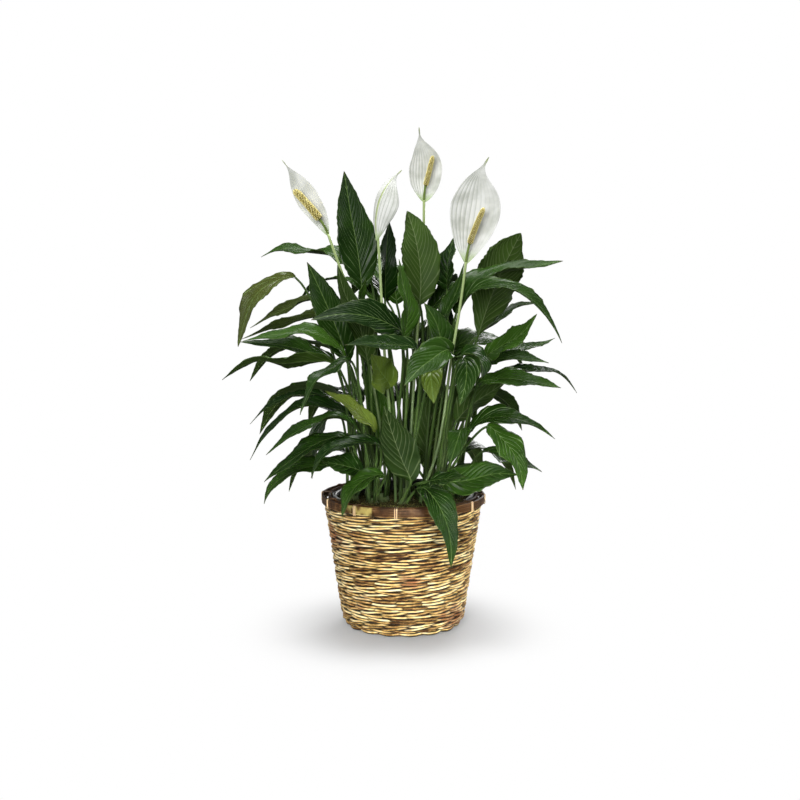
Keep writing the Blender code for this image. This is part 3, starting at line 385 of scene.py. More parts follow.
def turned(name, outline, count, finish, swell=None):
    """A bowl from an outline that starts and ends on the axis, or a ring from one that closes on itself."""
    on_axis = outline[0][0] == 0.0
    angles = [2 * math.pi * i / count for i in range(count)]
    verts = []
    faces = []
    rows = []
    for radius, height in outline:
        if radius == 0.0:
            rows.append([len(verts)] * count)
            verts.append((0.0, 0.0, height))
            continue
        rows.append(list(range(len(verts), len(verts) + count)))
        for angle in angles:
            out, up = swell(angle, radius, height) if swell else (radius, height)
            verts.append((out * math.cos(angle), out * math.sin(angle), up))
    pairs = list(zip(rows, rows[1:])) + ([] if on_axis else [(rows[-1], rows[0])])
    for upper, lower in pairs:
        for i in range(count):
            j = (i + 1) % count
            corners = [upper[i], upper[j], lower[j], lower[i]]
            faces.append([c for k, c in enumerate(corners) if c != corners[k - 1]])
    mesh = bpy.data.meshes.new(name)
    mesh.from_pydata(verts, [], faces)
    mesh.shade_smooth()
    mesh.materials.append(finish)
    made = bpy.data.objects.new(name, mesh)
    bpy.context.scene.collection.objects.link(made)
    face_outwards(mesh)
    return made


def face_outwards(mesh):
    """Turns the faces of a closed mesh outwards."""
    work = bmesh.new()
    work.from_mesh(mesh)
    bmesh.ops.recalc_face_normals(work, faces=work.faces)
    work.to_mesh(mesh)
    work.free()


def rounded(corners, radius, steps=4):
    """An outline with its corners rounded by arcs of a few points."""
    found = []
    for i, corner in enumerate(corners):
        corner = Vector(corner)
        before = (Vector(corners[i - 1]) - corner).normalized() * radius
        after = (Vector(corners[(i + 1) % len(corners)]) - corner).normalized() * radius
        for step in range(steps + 1):
            share = step / steps
            bend = corner + before * (1 - share) ** 2 + after * share**2
            found.append(tuple(bend))
    return found


cane, shader, start = new_finish("dark_cane", 0.42, 0.12)
turn = start.attribute("turn")
height = start.objects().axis("Z")
grain = start.vector(turn * 3.2, height * 900, 0.0).noise(1.0, 5.0, 0.65)
blotch = start.vector(turn * 7.0, height * 60, 0.0).noise(1.0, 3.0)
brown = start.node("ShaderNodeValToRGB", {"stops": (
    (0.39, (0.010, 0.004, 0.001)),
    (0.52, (0.068, 0.030, 0.010)),
    (0.66, (0.215, 0.118, 0.046)),
)}, {0: grain * 0.55 + blotch * 0.45})
pale_end = start.attribute("lap")
yellow = blotch.between(0.38, 0.62).mixed((0.085, 0.042, 0.014), (0.36, 0.29, 0.085))
banded = pale_end.mixed(brown, yellow)
wear(shader, start, banded, 0.34 + grain * 0.2, grain, 0.0004)


def lapped(angle, radius, height):
    """The outer band's face, sunk where its lapped end shows, with a gap at the butt."""
    wrapped = (angle + math.pi) % (2 * math.pi) - math.pi
    if radius < RIM_RADIUS - HOOP_THICK / 2:
        return radius, height
    ripple = BAND_RIPPLE * (math.sin(9 * angle) + 0.75 * math.sin(23 * angle + 1))
    if abs(wrapped - BUTT_ANGLE) < BUTT_HALF:
        return radius - HOOP_THICK * 0.75, height
    if LAP_ANGLE < wrapped < BUTT_ANGLE:
        return radius - LAP_SUNK, height
    return radius - BAND_SUNK + ripple, height


def mark_turn(thing):
    """Gives each vertex a number that changes round the band, for its streaks, and marks the lapped end."""
    mesh = thing.data
    turns = mesh.attributes.new("turn", "FLOAT", "POINT")
    laps = mesh.attributes.new("lap", "FLOAT", "POINT")
    for vert in mesh.vertices:
        angle = math.atan2(vert.co.y, vert.co.x)
        turns.data[vert.index].value = 6 * math.cos(angle / 2) * (1 if angle > 0 else -1) + angle
        inside = LAP_ANGLE < angle < BUTT_ANGLE and vert.co.xy.length > RIM_RADIUS - HOOP_THICK
        laps.data[vert.index].value = 1.0 if inside else 0.0


def hoop(name, node, outer, inner, swell):
    """One band of the rim, in the place of its packed hoop."""
    low, high = BASKET_HEIGHT - HOOP_HEIGHT, BASKET_HEIGHT
    corners = rounded([(outer, high), (outer, low), (inner, low), (inner, high)], BAND_CORNER)
    made = turned(name, corners, RIM_ROUND, cane, swell)
    mark_turn(made)
    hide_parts(node)
    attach(made, "root")


hoop("rim_band_outer", "rim_hoop_outer", RIM_RADIUS, RIM_RADIUS - HOOP_THICK, lapped)
inner_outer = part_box("rim_hoop_inner")[1].x
hoop("rim_band_inner", "rim_hoop_inner", inner_outer, inner_outer - HOOP_THICK, None)


# The lashings: pale split cane, passed twice over the rim at each place, so that two strips lie side by
# side down both bands and over the top. There are twelve, and they pull the two bands against the wall.
LASHINGS = 12
FIRST_LASHING = math.radians(-125)
STRIP_APART = 0.0030
STRIP_RADIUS = 0.00085
STRIP_CLEAR = 0.0006
STRIP_BELOW = 0.002
STRIP_BEND = 0.0022
DARK_WITHIN = 0.0015
PALE_BEYOND = 0.0002

lashing, shader, start = new_finish("pale_cane", 0.4, 0.45)
fibre = start.objects().noise(600.0, 3.0, 0.7)
pale = fibre.mixed((0.45, 0.28, 0.12), (0.80, 0.62, 0.38))
east, north = start.objects().axis("X"), start.objects().axis("Y")
out = (east * east + north * north).math("SQRT")
# The strips are darker inward of the rim's outer face, over the top and down the inside.
darkened = out.between(RIM_RADIUS - DARK_WITHIN, RIM_RADIUS + PALE_BEYOND)
pale = darkened.mixed((0.085, 0.045, 0.020), pale)
wear(shader, start, pale, 0.5 - fibre * 0.2, fibre, 0.0002)

sizes = {"Lashings": LASHINGS, "Start angle": FIRST_LASHING, "Apart": STRIP_APART,
         "Strip radius": STRIP_RADIUS}
tree, size = new_growth("rim_lashings", sizes)
start = Wire(tree)
outside = RIM_RADIUS + STRIP_CLEAR
inside = inner_outer - HOOP_THICK - STRIP_CLEAR
over = BASKET_HEIGHT + STRIP_CLEAR
drop = BASKET_HEIGHT - HOOP_HEIGHT - STRIP_BELOW
loop = start.node("GeometryNodeCurvePrimitiveQuadrilateral", {"mode": "POINTS"}, {
    7: (outside, 0, over), 8: (outside, 0, drop), 9: (inside, 0, drop), 10: (inside, 0, over)})
loop = loop.node("GeometryNodeFilletCurve", {"mode": "POLY"}, {
    "Curve": loop, "Count": 4, "Radius": STRIP_BEND})
flat = start.node("GeometryNodeCurvePrimitiveCircle", {}, {"Resolution": 8, "Radius": 1.0})
strip = loop.node("GeometryNodeCurveToMesh", {}, {0: loop, 1: flat, 2: size["Strip radius"]})
side = strip.node("GeometryNodeTransform", {}, {0: strip, 1: start.vector(0.0, size["Apart"] / 2, 0.0)})
other = strip.node("GeometryNodeTransform", {}, {0: strip, 1: start.vector(0.0, size["Apart"] * -0.5, 0.0)})
spots = start.node("GeometryNodePoints", {}, {0: size["Lashings"]})
which = start.node("GeometryNodeInputIndex")
facing = start.vector(0.0, 0.0, which * (2 * math.pi) / size["Lashings"] + size["Start angle"])
lashings = spots.node("GeometryNodeInstanceOnPoints", {}, {0: spots, 2: side.joined(other), 5: facing})
ties = grown("rim_lashings", tree, lashings, lashing, sizes)
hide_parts(*[f"rim_binding_{number:02d}" for number in range(1, LASHINGS + 1)])
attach(ties, "root")


# The basket's base: a flat disc of brown cane, woven in and out of spokes that run from the middle. The
# liner and the pot stand on it.
WEFT_APART = 0.0055
SPOKE_PAIRS = 12

spokes, shader, start = new_finish("base_cane", 0.6, 0.3)
east, north = start.objects().axis("X"), start.objects().axis("Y")
out = (east * east + north * north).math("SQRT")
side_of_spoke = (north.math("ARCTAN2", east) * SPOKE_PAIRS).math("SINE").math("SIGN")
weft = (out * 2 * math.pi / WEFT_APART + side_of_spoke * math.pi / 2).math("SINE")
darker = start.objects().noise(60.0, 4.0)
woven = (weft * 0.5 + 0.5).mixed((0.06, 0.028, 0.012), (0.34, 0.20, 0.09))
darkened = (darker * 0.7).mixed(woven, (0.12, 0.06, 0.03))
wear(shader, start, darkened, 0.75 - darker * 0.2, weft * 0.5 + darker * 0.3, 0.0012)
frame["nodes"]["basket_base"].data.materials.clear()
frame["nodes"]["basket_base"].data.materials.append(spokes)


# The liner: a sheet of grey plastic film that lines the basket and keeps it dry. Its edge stands up inside
# the rim, a little crumpled, and a painted highlight runs along its top.
LINER_THICK = 0.0007
LINER_ROUND = 360
LINER_FOOT = 0.0834
LINER_TOP = 0.216
LINER_STEPS = 14
CRUMPLED_FROM = 0.15
DIPPED_FROM = 0.21
LINER_SHRUNK = 0.0009
LINER_LOWERED = 0.0008
CREASES = 0.0006
FINE_CREASES = 0.0004
EDGE_WAVE = 0.0018
FINE_EDGE_WAVE = 0.0012
PAINTED_SHEEN_FROM, PAINTED_SHEEN_TO = 0.2149, 0.2156

film, shader, start = new_finish("liner_film", 0.32, 0.35)
crease = start.objects().noise(70.0, 4.0, 0.6)
grey = crease.mixed((0.010, 0.011, 0.010), (0.045, 0.047, 0.045))
# Painted highlight: a thin band at the film's top edge is painted pale grey, a sheen of light on the shiny
# film.
edge = start.objects().axis("Z").between(PAINTED_SHEEN_FROM, PAINTED_SHEEN_TO)
grey = (edge * (crease * 0.8 + 0.2)).mixed(grey, (0.36, 0.37, 0.36))
wear(shader, start, grey, 0.34 + crease * 0.3, crease, 0.0008)


def crumpled(angle, radius, height):
    """The film creased more and more towards its edge, which rises and dips."""
    rise = max(0.0, height - CRUMPLED_FROM) / (LINER_TOP - CRUMPLED_FROM)
    push = CREASES * math.sin(31 * angle + 2 * math.sin(5 * angle))
    push += FINE_CREASES * math.sin(73 * angle + 1)
    lift = EDGE_WAVE * math.sin(3 * angle + math.pi) - FINE_EDGE_WAVE * math.sin(7 * angle)
    lift = lift - LINER_LOWERED if height > DIPPED_FROM else 0.0
    return radius + (push - LINER_SHRUNK) * rise, height + lift


liner_low, liner_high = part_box("plastic_liner")


def liner_side(inset):
    """Points up the film's side, an inset in from its outer face."""
    foot, floor = LINER_FOOT - inset, liner_low.z + inset
    shares = [i / LINER_STEPS for i in range(LINER_STEPS + 1)]
    return [(foot + (liner_high.x - LINER_FOOT) * s, floor + (LINER_TOP - floor) * s) for s in shares]


outline = [(0.0, liner_low.z + LINER_THICK)] + liner_side(LINER_THICK)
outline += liner_side(0.0)[::-1] + [(0.0, liner_low.z)]
liner = turned("liner_sheet", outline, LINER_ROUND, film, crumpled)
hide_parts("plastic_liner")
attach(liner, "root")


# The grower's pot: thin black polypropylene, moulded with a rolled lip, in which the plant was raised. It
# stands in the liner, and its lip shows at the right behind the rim.
POT_ROUND = 192
POT_WALL = 0.0025
POT_LIP_WIDE = 0.004
POT_LIP_HEIGHT = 0.012
POT_LIP_ROLL = 0.0018
POT_LIP_STEPS = 8
POT_LIP_CHAMFER = 0.0006
POT_SHOULDER = 0.002
POT_SHOULDER_STEP = 0.0002
POT_FOOT = 0.080
POT_FOOT_EDGE = ((0.001, 0.003), (0.0, 0.0005), (-0.002, 0.0))

plastic, shader, start = new_finish("pot_plastic", 0.25, 0.55)
dust = start.objects().noise(90.0, 5.0, 0.65)
black = dust.between(0.55, 0.85).mixed((0.010, 0.010, 0.011), (0.05, 0.046, 0.04))
wear(shader, start, black, 0.14 + dust * 0.24, dust, 0.00012)

pot_low, pot_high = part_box("grower_pot")
pot_floor = pot_low.z
lip, top = pot_high.x, pot_high.z
lip_foot = top - POT_LIP_HEIGHT
body = lip - POT_LIP_WIDE
outline = [(0.0, pot_floor + POT_WALL), (POT_FOOT - POT_WALL, pot_floor + POT_WALL)]
outline += [(body - POT_WALL, lip_foot - POT_SHOULDER), (body - POT_WALL + POT_SHOULDER_STEP, lip_foot)]
for step in range(POT_LIP_STEPS + 1):
    angle = math.pi * (1 - step / POT_LIP_STEPS)
    out = lip - POT_LIP_ROLL + POT_LIP_ROLL * math.cos(angle)
    outline.append((out, top - POT_LIP_ROLL + POT_LIP_ROLL * math.sin(angle)))
outline += [(lip, lip_foot + POT_LIP_CHAMFER), (lip - POT_LIP_CHAMFER, lip_foot)]
outline += [(body, lip_foot), (body - POT_SHOULDER_STEP / 2, lip_foot - POT_SHOULDER)]
outline += [(POT_FOOT + out, pot_floor + up) for out, up in POT_FOOT_EDGE]
outline.append((0.0, pot_floor))
pot = turned("pot_shell", outline, POT_ROUND, plastic)
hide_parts("grower_pot")
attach(pot, "root")


# The potting soil: dark peat with pale flecks, pressed round the roots. It is covered by the moss and seen
# only down the holes that the stems stand in.
earth, shader, start = new_finish("potting_soil", 0.95, 0.2)
crumb = start.objects().noise(350.0, 5.0, 0.7)
fleck = start.objects().noise(1400.0, 2.0)
dark = crumb.mixed((0.020, 0.012, 0.007), (0.085, 0.050, 0.028))
flecked = fleck.between(0.68, 0.75).mixed(dark, (0.22, 0.18, 0.13))
wear(shader, start, flecked, 1 - crumb * 0.1, crumb, 0.002)
frame["nodes"]["soil"].data.materials.clear()
frame["nodes"]["soil"].data.materials.append(earth)


# The moss: a loose mat of brown and green moss tucked round the stems, with fine curled tufts standing out
# of it. It hides the soil, sags a little towards the pot's wall and spills over its lip at the front.
MOSS_TOP = 0.204
MOSS_FALL = 0.0015
MOSS_EDGE_ROLL = 0.0057
MOSS_DISH = 0.05
MOSS_INSET = 0.985
MOSS_UNDERSIDE = 0.001
HUMMOCKS = 0.0024
LUMPS = 0.0016
MOSS_STEPS = 26
MOSS_ROUND = 110
SPILL_FROM, SPILL_TO = math.radians(-157), math.radians(-27)
SPILL_ROWS = 90
SPILL_SIDES = 12
SPILL_OUT = 0.1112
SPILL_WIDE = 0.0066
SPILL_UP = 0.2143
SPILL_TALL = 0.0034
TUFTS_A_SQUARE_METRE = 105000.0
TUFT_TALL = 0.0052
TUFT_THICK = 0.00032

moss_finish, shader, start = new_finish("dried_moss", 0.9, 0.1)
clump = start.objects().noise(280.0, 3.0, 0.7)
thread = start.objects().noise(900.0, 3.0, 0.7)
mossy = start.node("ShaderNodeValToRGB", {"stops": (
    (0.40, (0.004, 0.004, 0.001)),
    (0.50, (0.030, 0.024, 0.007)),
    (0.57, (0.080, 0.085, 0.018)),
    (0.66, (0.420, 0.340, 0.150)),
)}, {0: clump * 0.6 + thread * 0.4})
wear(shader, start, mossy, 1 - thread * 0.2, thread, 0.0015)

moss_low, moss_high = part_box("moss")
moss_edge = moss_high.x * MOSS_INSET


def lumpy(angle, radius, height):
    """The mat's top in hummocks, with its flat underside left as it is."""
    if height < moss_low.z + MOSS_UNDERSIDE:
        return radius, height
    spot = Vector((radius * math.cos(angle), radius * math.sin(angle), 0.0))
    big = noise.noise(spot * 45) * HUMMOCKS
    small = noise.noise(spot * 170) * LUMPS
    return radius * (1 + 0.01 * noise.noise(spot * 60)), height + big + small


def tube_faces(rows, sides, first=0):
    """The faces between rings of points that follow one another, numbered from a first one."""
    faces = []
    for i in range(rows - 1):
        for k in range(sides):
            a = first + i * sides + k
            b = first + i * sides + (k + 1) % sides
            faces.append((a, b, b + sides, a + sides))
    return faces


outline = [(0.0, MOSS_TOP)]
for step in range(1, MOSS_STEPS + 1):
    share = step / MOSS_STEPS
    sag = MOSS_EDGE_ROLL * share**6 + MOSS_DISH * (share * moss_high.x) ** 2 * (1 - share)
    outline.append((moss_edge * share, MOSS_TOP - MOSS_FALL * share - sag))
outline += [(moss_edge, moss_low.z), (0.0, moss_low.z)]
mat = turned("moss_mat", outline, MOSS_ROUND, moss_finish, lumpy)
base = mat.data
bpy.data.objects.remove(mat)

# The moss spills over the pot's lip at the front, as far as the rim.
work = bmesh.new()
work.from_mesh(base)
spill = []
for i in range(SPILL_ROWS):
    share = i / (SPILL_ROWS - 1)
    angle = SPILL_FROM + (SPILL_TO - SPILL_FROM) * share
    slim = min(1.0, 8 * share + 0.05, 8 * (1 - share) + 0.05) ** 0.5
    for k in range(SPILL_SIDES):
        turn = 2 * math.pi * k / SPILL_SIDES
        bump = 1 + 0.35 * noise.noise(Vector((angle * 22, math.cos(turn) * 1.3, math.sin(turn) * 1.3)))
        out = SPILL_OUT + SPILL_WIDE * slim * math.cos(turn) * min(bump, 1.05)
        up = SPILL_UP + SPILL_TALL * slim * math.sin(turn) * bump
        spill.append(work.verts.new((out * math.cos(angle), out * math.sin(angle), up)))
for face in tube_faces(SPILL_ROWS, SPILL_SIDES):
    work.faces.new([spill[corner] for corner in face])
work.faces.new(reversed(spill[:SPILL_SIDES]))
work.faces.new(spill[-SPILL_SIDES:])
bmesh.ops.recalc_face_normals(work, faces=work.faces)
work.to_mesh(base)
work.free()

sizes = {"Mat": None, "Tufts": TUFTS_A_SQUARE_METRE, "Tall": TUFT_TALL, "Thick": TUFT_THICK}
tree, size = new_growth("moss_tufts", sizes)
start = Wire(tree)
arc = start.node("GeometryNodeCurvePrimitiveBezierSegment", {}, {
    0: 4, 1: (0.0, 0.0, -0.15), 2: (0.05, 0.0, 0.45), 3: (0.5, 0.2, 1.1), 4: (0.7, 0.1, 0.35)})
taper = 1.15 - start.node("GeometryNodeSplineParameter")
arc = arc.node("GeometryNodeSetCurveRadius", {}, {0: arc, 2: taper})
three = start.node("GeometryNodeCurvePrimitiveCircle", {}, {"Resolution": 3, "Radius": 1.0})
curl = arc.node("GeometryNodeCurveToMesh", {}, {0: arc, 1: three, 2: size["Thick"] / size["Tall"]})
upper = start.node("GeometryNodeInputNormal").axis("Z").math("GREATER_THAN", 0.45)
spots = start.node("GeometryNodeDistributePointsOnFaces", {"distribute_method": "RANDOM"}, {
    0: size["Mat"], 1: upper, 4: size["Tufts"], 6: 11})
lean = start.node("FunctionNodeRandomValue", {"data_type": "FLOAT_VECTOR"}, {
    0: (-1.0, -1.0, 0.0), 1: (1.0, 1.0, 2 * math.pi), 8: 5})
turned_tufts = lean.node("FunctionNodeRotateRotation", {"rotation_space": "LOCAL"}, {
    0: spots.out("Rotation"), 1: lean})
tall = drawn(0.55, 1.25, start.node("GeometryNodeInputIndex"), 6) * size["Tall"]
tufts = spots.node("GeometryNodeInstanceOnPoints", {}, {0: spots, 2: curl, 5: turned_tufts, 6: tall})
moss = grown("moss_cover", tree, size["Mat"].joined(tufts), moss_finish, sizes, base)
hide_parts("moss")
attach(moss, "root")


# The leaves: eighty-five, each a long thin blade on a grooved green stalk that rises from one of eleven
# crowns. A blade is quilted between side veins that run out from its midrib and curve towards its tip.

# Each shoot's crown, across and back from the pot's middle.
CROWNS = {
    "front": (0.000, -0.074),
    "front_left": (-0.050, -0.056),
    "front_right": (0.052, -0.056),
    "left": (-0.084, -0.008),
    "right": (0.084, -0.008),
    "mid_left": (-0.034, -0.012),
    "mid_right": (0.036, -0.010),
    "centre": (0.002, 0.032),
    "back_left": (-0.052, 0.048),
    "back_right": (0.054, 0.048),
    "back": (0.000, 0.084),
}

# The leaves that the front view shows. Each row has the shoot, the blade's width in millimetres, the share
# of that width that is seen at the blade's foot and tip (several shares where it twists, None where the
# blade hangs with its upper face up and out), whether the upper face or the underside is seen, how far back
# the blade's points lie in centimetres, and where the midrib is seen, in pixels, foot to tip. A width may
# come with PLAIN_OUTLINE's two numbers for that leaf.
PLAIN_OUTLINE = (0.8, 0.55)
UPPER, UNDER = 1, -1
FRONT_LEAVES = (
    # The tall leaves among the blooms.
    ("back_left", 74, 0.95, 0.95, UPPER, (3, 5), ((362, 290), (357, 248), (350, 210), (344, 171))),
    ("centre", 60, 0.60, 0.55, UPPER, (5, 7), ((385, 300), (386, 260), (389, 218))),
    ("centre", (70, 0.85, 0.25), 0.95, 0.95, UNDER, (0, 0.3, 1.5, 6),
     ((420, 305), (421, 275), (417, 245), (407, 211))),
    ("back_right", 60, 0.55, 0.55, UPPER, (5, 8), ((447, 290), (448, 262), (454, 237))),
    ("back_right", (90, 1.25, 0.2), 0.95, 0.90, UNDER, (2, 6),
     ((478, 336), (489, 302), (502, 270), (521, 233))),
    ("mid_right", (68, 0.8, 0.25), (0.80, 0.60, 0.28, 0.24, 0.50), None, UPPER, (1, 1),
     ((456, 314), (466, 292), (488, 276), (525, 268), (563, 261))),
    ("mid_right", 50, 0.38, 0.36, UPPER, (0, -8),
     ((460, 310), (478, 289), (505, 287), (530, 298), (562, 343))),
    ("mid_left", 48, 0.60, 0.55, UPPER, (-6, -4), ((403, 342), (408, 310), (402, 280), (399, 259))),
    ("back_left", 66, (0.55, 0.50, 0.10, 0.36, 0.30), None, UPPER, (2, 3),
     ((368, 273), (335, 256), (307, 252), (282, 249), (261, 257))),
    ("mid_left", 66, 0.92, 0.90, UPPER, (-2, 0), ((348, 362), (335, 325), (320, 290), (307, 262))),
    ("back_left", (50, 0.85, 0.5), 0.50, 0.62, UPPER, (3, -2),
     ((296, 278), (276, 281), (256, 295), (245, 320), (238, 347))),
    # The leaves of the middle, left to right.
    ("back_left", 50, 0.34, 0.32, UPPER, (4, 8), ((330, 302), (308, 300), (290, 307), (250, 328))),
    ("left", 50, 0.34, 0.32, UPPER, (3, 6), ((338, 322), (316, 317), (296, 321), (242, 339))),
    ("left", 54, 0.38, 0.36, UPPER, (-2, -4),
     ((345, 358), (325, 338), (302, 331), (275, 335), (243, 341))),
    ("mid_left", 56, 0.48, 0.42, UPPER, (-4, -8), ((335, 362), (310, 352), (285, 346), (240, 342))),
    ("left", 56, (0.40, 0.34, 0.40, 0.16, 0.34, 0.30), None, UNDER, (-5, -9),
     ((335, 365), (308, 361), (285, 363), (255, 361), (222, 380))),
    ("front_left", 44, 0.38, 0.36, UPPER, (-10, -20), ((352, 362), (332, 369), (316, 380), (300, 415))),
    ("front", 66, 0.72, 0.72, UPPER, (-7, -15), ((405, 338), (385, 322), (350, 314), (311, 320))),
    ("front", 58, 0.44, 0.42, UPPER, (-9, -19), ((418, 352), (395, 345), (370, 344), (345, 345))),
    ("mid_left", (62, 0.8, 0.7), 0.85, 0.85, UPPER, (-5, -12), ((390, 388), (380, 371), (371, 354))),
    ("back_left", 40, 0.45, 0.40, UPPER, (1, 2), ((357, 322), (360, 300), (366, 279))),
    ("mid_right", 56, 0.80, 0.80, UPPER, (-3, -1), ((441, 362), (437, 325), (424, 303))),
    ("front_right", (62, 0.8, 0.7), 0.85, 0.85, UPPER, (-6, -16), ((452, 353), (428, 362), (404, 386))),
    ("front_right", 50, None, None, UPPER, (-7, -9.5, -12, -13),
     ((450, 364), (451, 361), (447, 382), (438, 408))),
    ("front", 44, None, None, UPPER, (-4, -6, -8, -8.5),
     ((429, 374), (430, 371), (432, 387), (434, 404))),
    ("front_right", 50, 0.45, 0.42, UPPER, (-9, -17), ((460, 357), (471, 354), (482, 363), (481, 379))),
    ("right", 52, 0.28, 0.25, UPPER, (4, 9), ((478, 336), (497, 322), (513, 309), (541, 302))),
    ("right", 58, 0.55, 0.55, UPPER, (-3, -9), ((484, 360), (500, 347), (520, 335), (537, 314))),
    ("back_right", 50, 0.32, 0.30, UPPER, (5, 10), ((490, 355), (515, 349), (535, 346), (555, 338))),
    ("right", 56, 0.42, 0.40, UPPER, (-2, -8), ((472, 370), (488, 362), (515, 358), (549, 363))),
    ("back_right", (44, 0.8, 0.8), 0.25, 0.22, UPPER, (2, 5),
     ((490, 378), (530, 371), (556, 372), (577, 393))),
    ("right", 58, 0.50, 0.46, UPPER, (-4, -10), ((478, 385), (498, 379), (540, 383), (561, 388))),
    ("front_right", 58, 0.75, 0.75, UNDER, (-7, -3), ((456, 422), (472, 404), (490, 392), (507, 381))),
    # The low leaves, left to right.
    ("left", (40, 0.7, 0.85), 0.32, 0.28, UPPER, (2, 3),
     ((332, 398), (310, 396), (288, 397), (268, 407), (250, 424))),
    ("left", (48, 0.7, 0.85), 0.45, 0.24, UPPER, (-3, -4),
     ((352, 418), (330, 408), (305, 406), (275, 424), (250, 460))),
    ("front_left", 48, 0.50, 0.50, UPPER, (-8, -14), ((376, 432), (360, 415), (345, 403), (325, 391))),
    ("front_left", (48, 0.95, 0.6), (0.30, 0.22, 0.40, 0.42), None, UPPER, (-7, -11),
     ((358, 430), (340, 418), (314, 423), (290, 436), (266, 455))),
    ("left", 48, 0.38, 0.36, UPPER, (-1, -2), ((338, 412), (322, 424), (316, 450), (312, 479))),
    ("front_left", 54, 0.48, 0.46, UPPER, (-8, -13), ((348, 438), (325, 440), (300, 454), (264, 482))),
    ("left", 54, 0.50, 0.46, UPPER, (-2, -5),
     ((345, 466), (320, 466), (295, 471), (272, 487), (264, 504))),
    ("front_left", 52, 0.42, 0.40, UPPER, (-9, -14), ((380, 446), (355, 443), (330, 449), (311, 478))),
    ("front_left", 54, 0.72, 0.72, UPPER, (-10, -13), ((363, 474), (345, 466), (322, 462))),
    ("front_left", 50, 0.55, 0.55, UPPER, (-9, -15.5), ((384, 476), (366, 479), (350, 494), (342, 517))),
    ("front", 66, 0.94, 0.94, UNDER, (-11, -11), ((411, 482), (403, 462), (393, 435), (384, 406))),
    ("front", 54, 0.80, 0.80, UPPER, (-9, -13.5, -16, -16),
     ((417, 489), (433, 497), (447, 525), (451, 568))),
    ("front_right", 50, 0.45, 0.45, UPPER, (-10, -16), ((428, 482), (445, 479), (465, 477))),
    ("front_right", 40, None, None, UPPER, (-8, -10.5, -13, -13.5),
     ((460, 434), (461, 430), (455, 448), (449, 467))),
    ("right", (58, 0.75, 0.8), 0.48, 0.44, UPPER, (-4, -9),
     ((466, 436), (484, 420), (504, 417), (532, 424), (555, 439))),
    ("front_right", 56, 0.72, 0.72, UPPER, (-8, -13), ((486, 427), (503, 440), (516, 458), (523, 490))),
    ("front_right", 62, 0.88, 0.80, UPPER, (-8, -11), ((442, 486), (470, 480), (495, 474), (518, 475))),
    ("right", 44, 0.42, 0.40, UPPER, (-2, -5), ((450, 474), (468, 470), (500, 479))),
    ("right", 48, 0.40, 0.40, UPPER, (0, -2), ((482, 452), (508, 461), (525, 464), (542, 472))),
)

# The leaves behind those, by tiers: the height of the blade's foot, its distance from the pot's axis, the
# blade's length and width, how far it falls towards its tip, how wide it spreads, how many there are, and
# the first and last heading, in degrees from +X towards +Y.
BACK_TIERS = (
    (0.275, 0.100, 0.160, 0.056, 0.62, 1.0, 6, 38, 142),
    (0.345, 0.105, 0.175, 0.060, 0.45, 1.0, 6, 34, 146),
    (0.430, 0.085, 0.190, 0.064, 0.28, 1.0, 5, 24, 156),
    (0.510, 0.060, 0.195, 0.066, 0.05, 1.0, 4, 30, 150),
    (0.530, 0.040, 0.165, 0.064, -0.45, 0.8, 3, 55, 125),
    (0.300, 0.090, 0.165, 0.068, -1.0, 0.3, 5, 40, 140),
    (0.262, 0.045, 0.150, 0.070, -1.0, 0.3, 5, 40, 140),
    (0.420, 0.060, 0.170, 0.066, -1.0, 0.3, 4, 30, 150),
    (0.370, 0.072, 0.150, 0.072, -1.0, 0.3, 5, 50, 130),
)

BLADE_SHARES = (0.0, 0.10, 0.27, 0.47, 0.67, 0.86, 1.0)
PETIOLE_STEPS = 3
CROWN_RADIUS = 0.0125
CROWN_TOP = 0.214
CROWN_LOW = 0.180
CROWN_DOME = 0.217
CROWN_SHAPE = (
    (CROWN_LOW, 1.0), (0.196, 1.0), (0.206, 0.93), (0.211, 0.80), (CROWN_TOP, 0.60), (0.216, 0.32),
)
CROWN_SIDES = 28
PETIOLE_SUNK = 0.013
PETIOLE_FOOT = 0.0029
PETIOLE_TOP = 0.0019
PETIOLE_ROWS = 16
PETIOLE_SIDES = 9
BLADE_THICK = 0.0007
PACKED_NARROWEST = 0.0006
HALF_THICK = 0.00030
MARGIN_THINNER = 0.00012
MIDRIB_HALF = 0.0012
NARROWEST_HALF = 0.0004
GROOVE_DEPTH = 0.00045
MARGIN_RIPPLE = 0.017
NICKS = 0.04
RIB_DEPTH = 0.0015
RIB_LEAST = 0.0002
VEIN_APART = 0.0120
ROWS_A_VEIN = 6
QUILT = 0.00085
QUILTED_HALF = 0.012
GROOVED_HALF = 0.008
SAMPLES = 121
SAME_POINT = 0.00005
LEAST_MATCHED = 0.6
HALF_UNITS = 50


def seen_at(across, down, back):
    """The point that the front view shows at pixel (across, down), on the upright plane y = back."""
    right = (across - FRAME_MIDDLE) / SIGHT
    above = (FRAME_MIDDLE - down) / SIGHT
    ray = Vector((right, math.cos(LOOK_DOWN) + above * math.sin(LOOK_DOWN), 0.0))
    ray.z = above * math.cos(LOOK_DOWN) - math.sin(LOOK_DOWN)
    return EYE + ray * ((back - EYE.y) / ray.y)


def cubic(start, end, way_out, way_in, share):
    """The point and the direction at a share of a cubic curve between two points."""
    s = share
    point = start * (2 * s**3 - 3 * s**2 + 1) + way_out * (s**3 - 2 * s**2 + s)
    point += end * (3 * s**2 - 2 * s**3) + way_in * (s**3 - s**2)
    way = start * (6 * s**2 - 6 * s) + way_out * (3 * s**2 - 4 * s + 1)
    way += end * (6 * s - 6 * s**2) + way_in * (3 * s**2 - 2 * s)
    return point, way.normalized()


